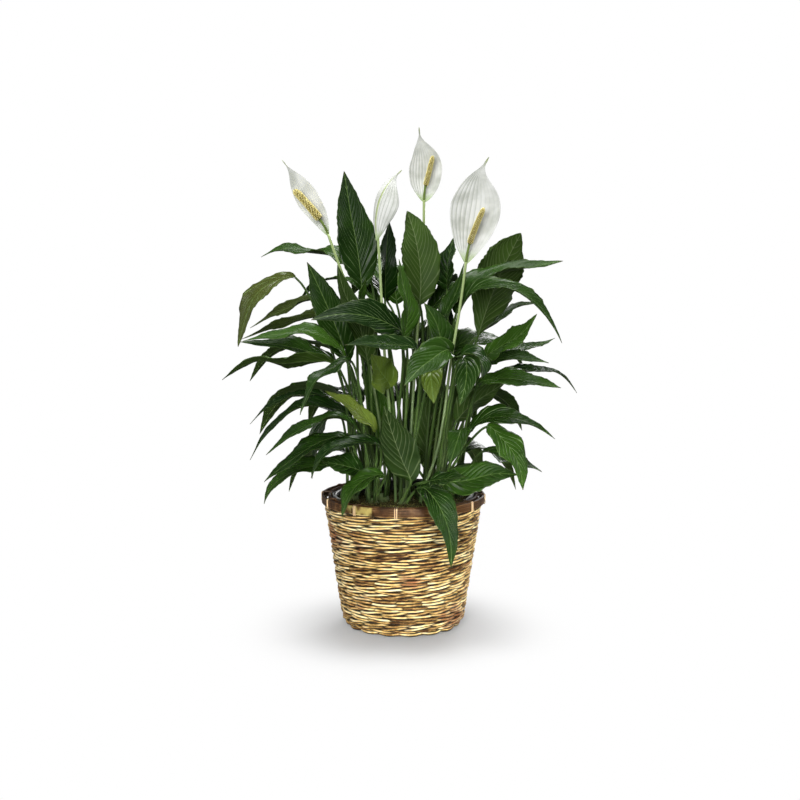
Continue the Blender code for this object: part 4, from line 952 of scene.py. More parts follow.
def along(points, shares, first_way=None):
    """Points and directions at shares of the length of a smooth curve through the points."""
    spans = [(b - a).length for a, b in zip(points, points[1:])]
    ways = [first_way or (points[1] - points[0]).normalized()]
    for i in range(1, len(points) - 1):
        before = (points[i] - points[i - 1]) / spans[i - 1]
        after = (points[i + 1] - points[i]) / spans[i]
        ways.append((before * spans[i] + after * spans[i - 1]).normalized())
    ways.append(((points[-1] - points[-2]) * 1.5 / spans[-1] - ways[-1] * 0.5).normalized())
    found = []
    for share in shares:
        reach = share * sum(spans)
        i = 0
        while i < len(spans) - 1 and reach > spans[i]:
            reach -= spans[i]
            i += 1
        part = min(reach / spans[i], 1.0)
        found.append(cubic(points[i], points[i + 1], ways[i] * spans[i], ways[i + 1] * spans[i], part))
    return found


def carried(normal, old_way, new_way):
    """The normal, turned as little as possible from one direction of a curve to the next."""
    turn = old_way.rotation_difference(new_way)
    moved = turn @ normal
    return (moved - new_way * moved.dot(new_way)).normalized()


class Leaf:
    """One leaf: its shoot, the points of its midrib and how its blade lies."""

    def __init__(self, shoot, width, points, number):
        draw = random.Random(100 + number)
        self.shoot = shoot
        self.width = width
        self.points = points
        self.number = number
        self.phase = draw.uniform(0, 2 * math.pi)
        self.waves = draw.uniform(1.6, 2.6)
        self.wave = draw.uniform(0.03, 0.06)
        self.fold = math.radians(draw.uniform(8, 20))
        self.outline = PLAIN_OUTLINE
        self.face = UPPER
        self.seen = None
        self.roll = math.radians(draw.uniform(-18, 18))
        self.push = 0.0
        self.bow = 0.0
        self.turn = 0.0
        self.foot_turn = 0.0

    def nearness(self):
        return sum(point.y for point in self.points) / len(self.points)

    def placed(self):
        """The midrib's points, turned round the pot's axis and moved back along the sight lines."""
        spin = Matrix.Rotation(self.turn, 3, "Z")
        return [spin @ point + (point - EYE) * (self.push / (point.y - EYE.y)) for point in self.points]

    def normals(self, places, steps):
        """The upper face's direction at each place along the midrib."""
        if self.seen is None:
            way = places[0][1]
            outward = Vector((way.x, way.y, 0)).normalized()
            wanted = Vector((0, 0, 1)) - outward * 0.3
            normal = (wanted - way * wanted.dot(way)).normalized()
            normal = Matrix.Rotation(self.roll, 3, way) @ normal
            found = [normal]
            for (_, before), (_, after) in zip(places, places[1:]):
                found.append(carried(found[-1], before, after))
            return found
        middle = self.points[0].x + self.points[-1].x
        travel = self.points[-1].x - self.points[0].x
        side = 1.0 if travel + 0.25 * middle > 0 else -1.0
        found = []
        for (point, way), step in zip(places, steps):
            lean = math.acos(between(self.seen, step))
            sight = (EYE - point).normalized()
            facing = (sight - way * sight.dot(way)).normalized()
            upward = way.cross(facing) * side * -1.0
            found.append((facing * math.cos(lean) * self.face + upward * math.sin(lean)).normalized())
        return found

    def petiole(self, count):
        """Points and directions up the petiole, and the direction in which the blade starts."""
        points = self.placed()
        across, back = CROWNS[self.shoot]
        crown = Vector((across, back, CROWN_TOP - PETIOLE_SUNK))
        outward = Vector((points[0].x - across, points[0].y - back, 0))
        reach = outward.length
        outward = outward.normalized()
        foot = crown + Vector((math.cos(self.foot_turn), math.sin(self.foot_turn), 0)) * CROWN_RADIUS * 0.5
        chord = points[0] - foot
        first = (points[1] - points[0]).normalized()
        joint = (chord.normalized() * 0.55 + first * 0.45).normalized()
        start = (Vector((0, 0, 1)) + outward * min(0.35, reach * 1.2)).normalized()
        sideways = Vector((-chord.y, chord.x, 0)).normalized()
        stem = []
        for i in range(count):
            share = i / count
            point, way = cubic(
                foot, points[0], start * chord.length * 0.8, joint * chord.length * 0.45, share
            )
            stem.append((point + sideways * self.bow * 4 * share * (1 - share), way))
        return stem, joint


def between(values, share):
    """The value at a share of the way through a row of values."""
    reach = share * (len(values) - 1)
    first = min(int(reach), len(values) - 2)
    return values[first] + (values[first + 1] - values[first]) * (reach - first)


def blade_width(leaf, share):
    """The blade's width as a share of its greatest, from its foot to its drip tip."""
    early, thin = leaf.outline
    inside = np.clip(share, 0.0, 1.0)
    width = np.abs(np.sin(math.pi * inside**early)) ** 0.75 * (1.0 - thin * inside**3)
    return np.where(inside >= 1.0, 0.0, width)


def plain_sections(leaf):
    """The corners of the leaf's faceted sections, petiole and blade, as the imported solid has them."""
    stem, joint = leaf.petiole(PETIOLE_STEPS)
    places = along(leaf.placed(), BLADE_SHARES, joint)
    normals = leaf.normals(places, [i / 6 for i in range(7)])
    found = []
    normal = normals[0]
    ahead = places[0][1]
    for i in reversed(range(PETIOLE_STEPS)):
        point, way = stem[i]
        normal = carried(normal, ahead, way)
        ahead = way
        radius = PETIOLE_FOOT + (PETIOLE_TOP - PETIOLE_FOOT) * i / PETIOLE_STEPS
        side = way.cross(normal)
        if i:
            found += [point - side * radius, point + normal * radius, point + side * radius]
    for share, (point, way), normal in list(zip(BLADE_SHARES, places, normals))[1:]:
        side = way.cross(normal)
        half = max(leaf.width / 2 * float(blade_width(leaf, share)), PACKED_NARROWEST)
        fold = leaf.fold * (1 - 0.5 * share)
        turn = share * leaf.waves * 2 * math.pi + leaf.phase
        calm = leaf.wave * leaf.width * float(blade_width(leaf, share))
        left = -side * half * math.cos(fold) + normal * (half * math.sin(fold) + calm * math.sin(turn))
        right = side * half * math.cos(fold) + normal * (half * math.sin(fold) + calm * math.cos(turn))
        edge = normal * (BLADE_THICK / 2)
        found += [point + left + edge, point + edge, point + right + edge]
    return found


def first_leaves():
    """The leaves that the front view shows, from the nearest to the furthest."""
    made = []
    for number, (shoot, width, seen_foot, seen_tip, face, back, pixels) in enumerate(FRONT_LEAVES):
        last = len(pixels) - 1
        points = []
        for i, (across, down) in enumerate(pixels):
            depth = back[i] if len(back) > 2 else back[0] + (back[1] - back[0]) * i / last
            points.append(seen_at(across, down, depth / 100))
        width, *outline = width if isinstance(width, tuple) else (width, *PLAIN_OUTLINE)
        leaf = Leaf(shoot, width / 1000, points, number)
        leaf.outline = tuple(outline)
        if seen_foot:
            leaf.seen = seen_foot if isinstance(seen_foot, tuple) else (seen_foot, seen_tip)
        leaf.face = face
        made.append(leaf)
    return sorted(made, key=Leaf.nearness)


def leaves_behind():
    """The leaves of the tiers behind, which a fixed seed varies."""
    draw = random.Random(7)
    made = []
    for height, out, length, width, fall, spread, count, first, last in BACK_TIERS:
        for i in range(count):
            heading = first + (last - first) * i / (count - 1) + draw.uniform(-7, 7)
            way = Vector((math.cos(math.radians(heading)), math.sin(math.radians(heading)), 0))
            up = Vector((0, 0, 1))
            size = length * draw.uniform(0.88, 1.12)
            foot = way * out * draw.uniform(0.8, 1.15) + up * (height + draw.uniform(-0.015, 0.02))
            points = [foot]
            out_way = way * size * spread
            points.append(foot + out_way * 0.36 + up * size * 0.22 * (1 - fall))
            points.append(foot + out_way * 0.70 + up * size * (0.20 - 0.45 * fall))
            points.append(foot + out_way * 0.93 + up * size * (0.06 - 0.85 * fall))
            near = [name for name, place in CROWNS.items() if place[1] > -0.02]
            near.sort(key=lambda name: (Vector((*CROWNS[name], 0)) * 1.2 - way * 0.09).length)
            shoot = near[0] if draw.random() < 0.7 else near[1]
            made.append(Leaf(shoot, width * draw.uniform(0.9, 1.1), points, 200 + len(made)))
    return made


def spread_feet(leaves):
    """Sets each petiole's foot in its own place round its crown, in the order of the leaves' headings."""
    for name, place in CROWNS.items():
        mine = [leaf for leaf in leaves if leaf.shoot == name]
        headings = {}
        for leaf in mine:
            headings[leaf] = math.atan2(leaf.points[0].y - place[1], leaf.points[0].x - place[0])
        mine.sort(key=headings.get)
        step = 2 * math.pi / len(mine)
        off = [headings[leaf] - step * i for i, leaf in enumerate(mine)]
        start = math.atan2(sum(map(math.sin, off)), sum(map(math.cos, off)))
        for i, leaf in enumerate(mine):
            leaf.foot_turn = start + step * i


packed_points = {}
for name in CROWNS:
    verts = frame["nodes"][f"shoot_{name}"].data.vertices
    packed_points[name] = KDTree(len(verts))
    for i, vert in enumerate(verts):
        packed_points[name].insert(vert.co, i)
    packed_points[name].balance()


def matched(leaf, corners):
    """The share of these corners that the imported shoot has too."""
    tree = packed_points[leaf.shoot]
    return sum(tree.find(corner)[2] < SAME_POINT for corner in corners) / len(corners)


def as_packed(leaf):
    """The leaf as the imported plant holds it, bent clear of its neighbours, or None if it was left out."""
    # It may stand in a crown near its own, turned by degrees, and pushed back or bowed by millimetres.
    home = Vector(CROWNS[leaf.shoot])
    near = sorted(CROWNS, key=lambda name: (Vector(CROWNS[name]) - home).length)[:3]
    turns = (0,) if leaf.seen else (0, 8, -8, 16, -16, 25, -25)
    pushes = (0, 6, -6, 12, -12, 20, -20, 30, 40, 50, -30) if leaf.seen else (0, 12, -12, 25)
    best = None
    most = LEAST_MATCHED
    for shoot in near:
        for turn in turns:
            for push in pushes:
                trial = copy.copy(leaf)
                trial.shoot = shoot
                trial.turn = math.radians(turn)
                trial.push = push / 1000
                if matched(trial, plain_sections(trial)[-3:]) < 1:
                    continue
                for narrow in (1.0, 0.88, 0.76):
                    for bow in (0, 8, -8, 16, -16, 26, -26):
                        closer = copy.copy(trial)
                        closer.width = leaf.width * narrow
                        closer.bow = bow / 1000
                        share = matched(closer, plain_sections(closer))
                        if share > most:
                            best = closer
                            most = share
    return best


def columns_of(half):
    """Where the blade's columns of points stand, from margin to margin, close together at the midrib."""
    near = np.clip(MIDRIB_HALF / half, 0.02, 0.2)
    right = [near, near + 0.10, 0.34, 0.52, 0.69, 0.85, 1.0]
    right = [np.broadcast_to(part, half.shape) for part in right]
    return np.stack([-part for part in reversed(right)] + [np.zeros_like(half)] + right, -1)


def table_at(table, shares, wanted):
    """A table of points or directions, read between its rows."""
    return np.stack([np.interp(wanted, shares, table[:, k]) for k in range(3)], -1)


def unit(table):
    """Each row of a table as a direction of length 1."""
    return table / np.linalg.norm(table, axis=-1, keepdims=True)


def sheet_faces(rows, columns):
    """The faces of a thin sheet: its front's points row by row, then its back's, closed round the edge."""
    count = rows * columns
    faces = []
    for i in range(rows - 1):
        for j in range(columns - 1):
            a = i * columns + j
            b = a + columns
            faces.append((a, a + 1, b + 1, b))
            faces.append((count + a, count + b, count + b + 1, count + a + 1))
        left = i * columns
        right = left + columns - 1
        faces.append((left, left + columns, count + left + columns, count + left))
        faces.append((right, count + right, count + right + columns, right + columns))
    last = count - columns
    for j in range(columns - 1):
        faces.append((j, count + j, count + j + 1, j + 1))
        faces.append((last + j, last + j + 1, count + last + j + 1, count + last + j))
    return faces


def blade_of(leaf):
    """The blade's points, faces and attributes: its quilted upper face and its underside."""
    _, joint = leaf.petiole(1)
    points = leaf.placed()
    shares = np.linspace(0.0, 1.0, SAMPLES)
    places = along(points, shares, joint)
    steps = np.interp(shares, BLADE_SHARES, np.linspace(0.0, 1.0, len(BLADE_SHARES)))
    ups = np.array(leaf.normals(places, steps))
    spots = np.array([point for point, _ in places])
    ways = np.array([way for _, way in places])
    sides = np.cross(ways, ups)
    length = sum((b - a).length for a, b in zip(points, points[1:]))
    veins = max(7, round(length / VEIN_APART))
    rows = veins * ROWS_A_VEIN
    even = np.linspace(0.0, 1.0, rows + 1)
    start = even**1.25
    v = columns_of(np.maximum(leaf.width / 2 * blade_width(leaf, start), NARROWEST_HALF))
    s = start[:, None]
    # The rows of points follow the side veins, which sweep forward, less so at the blade's foot and tip.
    free = np.clip(s / 0.16, 0.0, 1.0) * np.clip((1 - s) / 0.55, 0.0, 1.0) ** 0.9
    t = np.clip(s + (0.30 * abs(v) + 0.12 * v**2) * free, 0.0, 1.0)
    spot = table_at(spots, shares, t)
    up = unit(table_at(ups, shares, t))
    side = unit(table_at(sides, shares, t))
    half = np.maximum(leaf.width / 2 * blade_width(leaf, t), NARROWEST_HALF)
    # The blade is folded along its midrib and waves as a whole, and its margins ripple and have nicks.
    fold = leaf.fold * (1 - 0.5 * t)
    turn = t * leaf.waves * 2 * math.pi + leaf.phase
    calm = 1.4 * leaf.wave * leaf.width * blade_width(leaf, t)
    rise = half * abs(v) * np.sin(fold)
    rise += calm * np.where(v < 0, np.sin(turn), np.cos(turn)) * abs(v) ** 1.5
    ripple = np.sin(turn * 4.3 + leaf.phase * 3 + np.sign(v)) + 0.6 * np.sin(turn * 7.7 + np.sign(v) * 2)
    rise += MARGIN_RIPPLE * leaf.width * blade_width(leaf, t) * ripple * abs(v) ** 3
    nicks = 1 + 0.6 * np.sin(turn * 3.1 + leaf.phase * 5 + 2 * np.sign(v))
    nicks = nicks + 0.4 * np.sin(turn * 9.1 + np.sign(v))
    half = half * (1 - NICKS * nicks * abs(v) ** 2)
    # It swells between its side veins.
    swelling = abs(np.sin(math.pi * even * veins))[:, None]
    reach = np.clip(half / QUILTED_HALF, 0.0, 1.0) * np.clip(abs(v) / 0.25, 0.0, 1.0) * (1 - 0.75 * v**4)
    rise += QUILT * (swelling - 0.5) * reach
    body = spot + side * (v * half * np.cos(fold))[..., None] + up * rise[..., None]
    # It is thinner towards its margins, and the midrib is a groove above and a keel below.
    thick = HALF_THICK - MARGIN_THINNER * abs(v)
    from_middle = abs(np.arange(v.shape[1]) - v.shape[1] // 2)
    middle, beside = from_middle == 0, from_middle == 1
    groove = np.where(middle, -GROOVE_DEPTH, np.where(beside, GROOVE_DEPTH / 3, 0.0))
    groove = groove * np.clip(half / GROOVED_HALF, 0.0, 1.0)
    keel = RIB_DEPTH * (1 - t) ** 0.7 * np.where(middle, 1.0, np.where(beside, 0.3, 0.0))
    keel = keel + RIB_LEAST * middle
    above = body + up * (thick + groove)[..., None]
    below = body - up * (thick + keel)[..., None]
    kinds = {
        "vein": np.broadcast_to(even[:, None] * veins, v.shape),
        "aside": v,
        "share": t,
        "half": half * HALF_UNITS,
    }
    both = {label: np.concatenate([value.ravel(), value.ravel()]) for label, value in kinds.items()}
    both["under"] = np.repeat([0.0, 1.0], v.size)
    both["stem"] = np.zeros(2 * v.size)
    points = np.concatenate([above.reshape(-1, 3), below.reshape(-1, 3)])
    return points, sheet_faces(*v.shape), both


def closed_tube_faces(rows, sides):
    """The faces of a tube whose two ends are capped."""
    last = (rows - 1) * sides
    caps = [tuple(range(sides)), tuple(last + k for k in reversed(range(sides)))]
    return tube_faces(rows, sides) + caps


def petiole_of(leaf):
    """The petiole: a grooved tube, sheathing at its foot, that runs out under the blade."""
    path, joint = leaf.petiole(PETIOLE_ROWS)
    shares = [0.0, 0.03, 0.07, 0.12]
    places = along(leaf.placed(), shares, joint)
    # The blade twists through the first of its six steps over the first tenth of its length.
    ups = leaf.normals(places, [share * 10 / 6 for share in shares])
    normals = [ups[0]]
    ahead = places[0][1]
    for point, way in reversed(path):
        normals.insert(0, carried(normals[0], ahead, way))
        ahead = way
    path += places
    normals += ups[1:]
    verts = []
    kinds = {label: [] for label in ("vein", "aside", "share", "half", "under", "stem")}
    last = len(path) - 1
    for i, ((point, way), normal) in enumerate(zip(path, normals)):
        side = way.cross(normal)
        climb = min(i / PETIOLE_ROWS, 1.0)
        # Past the blade's foot the stalk thins and sinks under the midrib.
        past = max(0, i - PETIOLE_ROWS) / (last - PETIOLE_ROWS)
        radius = PETIOLE_FOOT + (PETIOLE_TOP - PETIOLE_FOOT) * climb
        radius *= 1 - 0.65 * past
        wide = 1 + 0.45 * max(0.0, 1 - climb / 0.45)
        centre = point - normal * (radius * 0.8 * past)
        for k in range(PETIOLE_SIDES):
            turn = 2 * math.pi * k / PETIOLE_SIDES
            dent = 1 - 0.34 * max(0.0, math.cos(turn)) ** 3
            spread = side * math.sin(turn) * radius * wide + normal * math.cos(turn) * radius * dent
            verts.append(centre + spread)
            kinds["vein"].append(climb * 3)
            kinds["aside"].append(math.sin(turn))
            kinds["share"].append(climb)
            kinds["half"].append(radius * HALF_UNITS)
            kinds["under"].append(0.5 - 0.5 * math.cos(turn))
            kinds["stem"].append(1.0 - 0.6 * past)
    faces = closed_tube_faces(len(path), PETIOLE_SIDES)
    return np.array(verts), faces, {label: np.array(value) for label, value in kinds.items()}


def crown_of(name):
    """The crown: overlapping stalk feet that sheathe one another, closed in a low dome."""
    across, back = CROWNS[name]
    verts = [(across, back, CROWN_LOW), (across, back, CROWN_DOME)]
    for height, share in CROWN_SHAPE:
        for k in range(CROWN_SIDES):
            turn = 2 * math.pi * k / CROWN_SIDES
            radius = CROWN_RADIUS * share * (1 + 0.07 * math.cos(7 * turn + height * 60))
            verts.append((across + radius * math.cos(turn), back + radius * math.sin(turn), height))
    faces = tube_faces(len(CROWN_SHAPE), CROWN_SIDES, 2)
    top = len(verts) - CROWN_SIDES
    for k in range(CROWN_SIDES):
        n = (k + 1) % CROWN_SIDES
        faces.append((0, 2 + n, 2 + k))
        faces.append((1, top + k, top + n))
    count = len(verts)
    kinds = {"vein": np.linspace(0, 3, count), "aside": np.zeros(count), "share": np.zeros(count),
             "half": np.full(count, 0.15), "under": np.full(count, 0.5), "stem": np.ones(count)}
    return np.array(verts), faces, kinds


def skinned(name, bodies, material):
    """One object from closed bodies of points, faces and attributes."""
    verts = np.concatenate([points for points, _, _ in bodies])
    faces = []
    first = 0
    for points, own, _ in bodies:
        faces += [tuple(first + corner for corner in face) for face in own]
        first += len(points)
    mesh = bpy.data.meshes.new(name)
    mesh.from_pydata(verts.tolist(), [], faces)
    for label in bodies[0][2]:
        layer = mesh.attributes.new(label, "FLOAT", "POINT")
        layer.data.foreach_set("value", np.concatenate([kinds[label] for _, _, kinds in bodies]))
    mesh.shade_smooth()
    mesh.materials.append(material)
    face_outwards(mesh)
    made = bpy.data.objects.new(name, mesh)
    bpy.context.scene.collection.objects.link(made)
    return made


leaf_finish, shader, start = new_finish("leaf_green", 0.32, 0.10)
vein = start.attribute("vein")
aside = start.attribute("aside").math("ABSOLUTE")
share = start.attribute("share")
tone = start.attribute("tone")
under = start.attribute("under")
stem = start.attribute("stem")
half = start.attribute("half")
mottle = start.objects().noise(26.0, 4.0, 0.55)
broad = start.objects().noise(9.0, 2.0, 0.5)
speck = start.objects().noise(420.0, 3.0, 0.6)
depth = (mottle * 0.7 + broad * 0.5 + tone * 0.9 - 0.65).between(0.0, 1.0)
blade = depth.mixed((0.0035, 0.017, 0.0012), (0.031, 0.082, 0.0070))
fresh = (tone - 1.0).between(0.0, 1.0)
yellowed = (mottle * 0.8 + 0.1).mixed((0.085, 0.150, 0.016), (0.190, 0.240, 0.036))
blade = fresh.mixed(blade, yellowed)
dull = (0.0 - tone).between(0.0, 1.0) * (mottle * 0.6 + 0.6)
blade = dull.math("MINIMUM", 1.0).mixed(blade, (0.070, 0.084, 0.016))
# The pale side-vein lines are partly the veins' own paler green and partly painted highlight: the bright
# streaks of sheen that light draws along the quilting, strong on the leaves that lined picks.
beside_vein = (vein + 0.5) - (vein + 0.5).math("FLOOR") - 0.5
from_vein = beside_vein.math("ABSOLUTE") * 2
side_vein = 1 - from_vein.between(0.02, 0.22)
patchy = start.vector(vein.math("FLOOR"), aside * 2.5, tone * 9).noise(1.3, 2.0).between(0.42, 0.66)
lined = start.vector(tone * 23.0, 4.0, 0.0).noise(1.0, 0.0).between(0.38, 0.60)
blade = (side_vein * (patchy * (lined * 0.6 + 0.2) + 0.04)).mixed(blade, (0.210, 0.310, 0.130))
small_vein = 1 - ((vein * 4).math("PINGPONG", 0.5) * 2).between(0.0, 0.6)
blade = (small_vein * 0.08).mixed(blade, (0.090, 0.140, 0.040))
across_mm = aside * half * (1000 / HALF_UNITS)
midrib = 1 - across_mm.between(0.30, 0.95)
blade = (midrib * (0.22 + broad * 0.45)).mixed(blade, (0.170, 0.270, 0.075))
margin = aside.between(0.955, 0.99) * (1 - stem)
blade = (margin * 0.45).mixed(blade, (0.130, 0.185, 0.060))
blade = (share.between(0.955, 1.0) * 0.85 * (1 - stem)).mixed(blade, (0.050, 0.036, 0.014))
olive = (mottle * 0.6 + broad * 0.4 + tone * 0.3 - 0.1).mixed((0.010, 0.025, 0.003), (0.040, 0.080, 0.010))
olive = fresh.mixed(olive, (0.120, 0.165, 0.026))
olive = (side_vein * 0.45 + midrib * 0.6).math("MINIMUM", 1.0).mixed(olive, (0.135, 0.180, 0.075))
sided = (under * (1 - stem)).mixed(blade, olive)
stalk_green = (speck * 0.5 + share * 0.4).mixed((0.085, 0.140, 0.034), (0.036, 0.075, 0.015))
# Painted shade: each petiole is painted near black low down, where it stands deep in the clump; on some
# leaves pale streaks are laid over it there.
low_down = 1 - share.between(0.10, 0.55)
stalk_green = (low_down * 0.8).mixed(stalk_green, (0.014, 0.028, 0.006))
stalk_green = (low_down * lined.between(0.6, 1.0) * 0.7).mixed(stalk_green, (0.150, 0.205, 0.075))
stalk_green = (tone.between(0.0, 1.0) * 0.5).mixed(stalk_green, (0.035, 0.070, 0.016))
green = stem.mixed(sided, stalk_green)
narrow = share.between(0.45, 0.85)
gloss = 0.13 + mottle * 0.17 + under * 0.28 + speck * 0.08 + narrow * 0.25
relief = from_vein * 0.5 * (1 - stem) * (1 - narrow) + speck * 0.05
wear(shader, start, green, gloss, relief, 0.0009)

# The tones of the front leaves, in their order in the table: 0 is dark green, 1 is mid green, 2 is a fresh
# yellow-green leaf, and -1 is a dull olive one. The leaves behind get tones at random.
TONES = (
    # The tall leaves among the blooms.
    0.35, 0.1, 0.9, 0.25, 1.0, 0.6, 0.5, 0.95, 0.7, 0.35, -0.75,
    # The leaves of the middle.
    -0.5, -0.4, 0.95, 0.45, 0.9, 0.4, -0.05, 0.25, 1.55, 1.1, 0.55,
    0.6, 0.5, 1.6, 0.3, -0.15, 0.95, 0.5, 0.55, 0.2, 0.75, 0.5,
    # The low leaves.
    0.05, 0.1, 1.95, 0.45, 0.4, 0.3, 0.6, 0.2, 0.35, 0.7,
    -0.9, 0.35, 0.4, 0.6, 0.5, 0.9, 0.65, 0.3, 0.6,
)

leaves = first_leaves() + leaves_behind()
spread_feet(leaves)
standing = [found for found in map(as_packed, leaves) if found]
for name in CROWNS:
    bodies = [crown_of(name)]
    tones = [0.5]
    draw = random.Random(name)
    for leaf in standing:
        if leaf.shoot == name:
            bodies += [petiole_of(leaf), blade_of(leaf)]
            tones += [TONES[leaf.number] if leaf.number < len(TONES) else draw.uniform(-0.2, 1.0)] * 2
    for (points, _, kinds), tone in zip(bodies, tones):
        kinds["tone"] = np.full(len(points), tone)
    clump = skinned(f"leaves_{name}", bodies, leaf_finish)
    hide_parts(f"shoot_{name}")
    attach(clump, "root")


# The blooms: four, each a smooth green stalk with a white spathe at its end, hooded behind a spadix. A
# spathe is a thin soft sheet ribbed from foot to tip, and a spadix is a fleshy rod set round with florets.
HOLE_FLOOR = 0.1603
STALK_RADIUS = 0.0022
SPATHE_THICK = 0.0008
SPATHE_SEAT = 0.004
SPATHE_CLEAR = STALK_RADIUS + SPATHE_THICK / 2 + 0.0006
SPADIX_STEM = 0.0020
SPADIX_FOOT = 0.31
SPADIX_ROUND = 0.90
SPADIX_CAP = 0.1005
SPADIX_GAP = 0.0003
FIRST_FLORET = SPADIX_FOOT + 0.03
SPADIX_ROWS = 48
SPADIX_SIDES = 20
STALK_ROWS = 64
STALK_SIDES = 12
STALK_UPRIGHT = 0.05
SPATHE_ROWS = 84
SPATHE_COLUMNS = 45
SPATHE_RIBS = 11
RIBBED_WIDTH = 0.02
THREAD_WIDE = 0.04
THREAD_FROM = 0.96
RIB_HEIGHT = 0.00055
HEM_WAVE = 0.0011
FLORETS = 300
FLORET_SIZE = 0.076
FLORET_SUNK = 0.0008
GOLDEN_ANGLE = 2.399963

# Each bloom: its stalk, its spadix and its spathe's spine as the front view shows them, in pixels from the
# foot up, with how far back they lie in centimetres; then the spadix's and the spathe's widths in
# millimetres, a power that puts the spathe's widest place nearer its foot the smaller it is, the angle that
# the spathe's section bends through, and the way it opens, where that isn't towards the front.
BLOOMS = {
    "bloom_left": {
        "foot": (-0.028, 0.016),
        "stalk": ((368, 360, 2.4), (350, 294, 1.6), (338, 262, 1), (328, 234, 1)),
        "spadix": ((323, 224, 0), (309, 206, -0.5), (294, 190, -1)),
        "spathe": ((319, 217, 1.6), (304, 193, 1.9), (289, 169, 1.4), (282, 160, 0.8)),
        "spadix_wide": 14,
        "spathe_wide": 38,
        "widest": 0.95,
        "curl": 75,
        "opens": None,
    },
    "bloom_small": {
        "foot": (-0.012, -0.036),
        "stalk": ((384, 345, -3.5), (382, 310, -3), (380, 270, -2), (378, 238, -2)),
        "spadix": ((380, 229, -2), (384, 214, -2), (389, 200, -2)),
        "spathe": ((376, 217, -2), (380, 199, -2), (389, 183, -2), (402, 170, -2)),
        "spadix_wide": 8,
        "spathe_wide": 74,
        "widest": 1.0,
        "curl": 155,
        "opens": (0.85, 0.53, 0.0),
    },
    "bloom_top": {
        "foot": (0.010, -0.014),
        "stalk": ((411, 433, -2), (417, 340, 0.5), (423, 260, 5.6), (424, 200, 6.0)),
        "spadix": ((425, 189, 5.6), (429, 172, 5.2), (433, 156, 5.0)),
        "spathe": ((425, 185, 7.2), (425, 160, 7.4), (420, 138, 6.9), (419, 127, 6.5)),
        "spadix_wide": 10,
        "spathe_wide": 56,
        "widest": 0.78,
        "curl": 70,
        "opens": None,
    },
    "bloom_big": {
        "foot": (0.028, -0.044),
        "stalk": ((436, 455, -4.5), (452, 355, -2.2), (461, 300, -1.6), (466, 262, -1.3)),
        "spadix": ((469, 246, -1.7), (476, 226, -2.1), (484, 208, -2.3)),
        "spathe": ((470, 240, 0.1), (476, 205, 0.5), (481, 172, 0.0), (489, 157, -0.6)),
        "spadix_wide": 11,
        "spathe_wide": 82,
        "widest": 1.0,
        "curl": 65,
        "opens": None,
    },
}

stalk_finish, shader, start = new_finish("flower_stalk", 0.36, 0.5)
climb = start.attribute("share")
fleck = start.objects().noise(330.0, 3.0, 0.6)
line = start.vector(start.attribute("turn") * 9, climb * 4, 0.0).noise(1.0, 2.0)
light = (climb * 0.55 + line * 0.55).mixed((0.15, 0.27, 0.065), (0.40, 0.50, 0.20))
light = (fleck.between(0.55, 0.75) * 0.25).mixed(light, (0.55, 0.62, 0.32))
# Painted shade: the stalk is painted dark green towards its foot, where it stands deep among the leaves.
light = ((1 - climb.between(0.30, 0.78)) * 0.72).mixed(light, (0.040, 0.085, 0.018))
wear(shader, start, light, 0.28 + fleck * 0.2, fleck + line, 0.0003)

petal, shader, start = new_finish("white_spathe", 0.46, 0.4)
along_it = start.attribute("share")
part = start.attribute("part")
hollow_face = start.attribute("hollow")
soft = start.objects().noise(38.0, 3.0, 0.5)
tissue = start.objects().noise(520.0, 3.0, 0.6)
ribs = (part * SPATHE_RIBS * 2 * math.pi).math("COSINE") * 0.5 + 0.5
fine_ribs = (part * SPATHE_RIBS * 8 * math.pi).math("COSINE") * 0.5 + 0.5
white = soft.between(0.30, 0.65).mixed((0.53, 0.545, 0.50), (0.77, 0.78, 0.75))
# The grey rib lines are partly the veins' own tint and partly painted shade in the pleats between them,
# strongest on the left of the spathe.
crowded = 1 - part.between(-0.12, 0.22) * 0.75
white = (ribs ** 6 * crowded * 0.62).mixed(white, (0.30, 0.335, 0.27))
white = (fine_ribs ** 4 * 0.22).mixed(white, (0.36, 0.40, 0.33))
keel_wide = 0.055 - along_it * 0.030
keel = 1 - (part.math("ABSOLUTE") / keel_wide).between(0.55, 1.1)
# The dark olive line beside the keel on the back is partly the keel's own green and partly painted shade
# along its ridge.
groove = 1 - ((part - 0.012).math("ABSOLUTE") / keel_wide).between(0.10, 0.35)
white = (keel * (1 - hollow_face) * 0.80).mixed(white, (0.40, 0.50, 0.17))
white = (groove * (1 - hollow_face) * 0.75).mixed(white, (0.13, 0.15, 0.03))
white = ((1 - along_it.between(0.02, 0.16)) * 0.75).mixed(white, (0.33, 0.47, 0.15))
white = (along_it.between(0.88, 0.985) * 0.8).mixed(white, (0.30, 0.37, 0.10))
wear(shader, start, white, 0.46 + tissue * 0.15, ribs * 0.5 + tissue * 0.2, 0.00022)

cream, shader, start = new_finish("cream_spadix", 0.62, 0.35)
floret = start.attribute("floret")
height_of = start.attribute("rise")
grainy = start.objects().noise(900.0, 3.0, 0.6)
yolk = (floret * 0.6 + grainy * 0.4).mixed((0.70, 0.56, 0.115), (1.0, 0.94, 0.48))
# Painted shade: each floret is painted dark brown low on its sides, and the rod between them too, where
# shade falls in the gaps between florets.
yolk = height_of.between(0.26, 0.72).mixed((0.095, 0.070, 0.006), yolk)
yolk = start.attribute("stalk").mixed(yolk, (0.155, 0.230, 0.045))
wear(shader, start, yolk, 0.66 - grainy * 0.15, grainy, 0.0003)


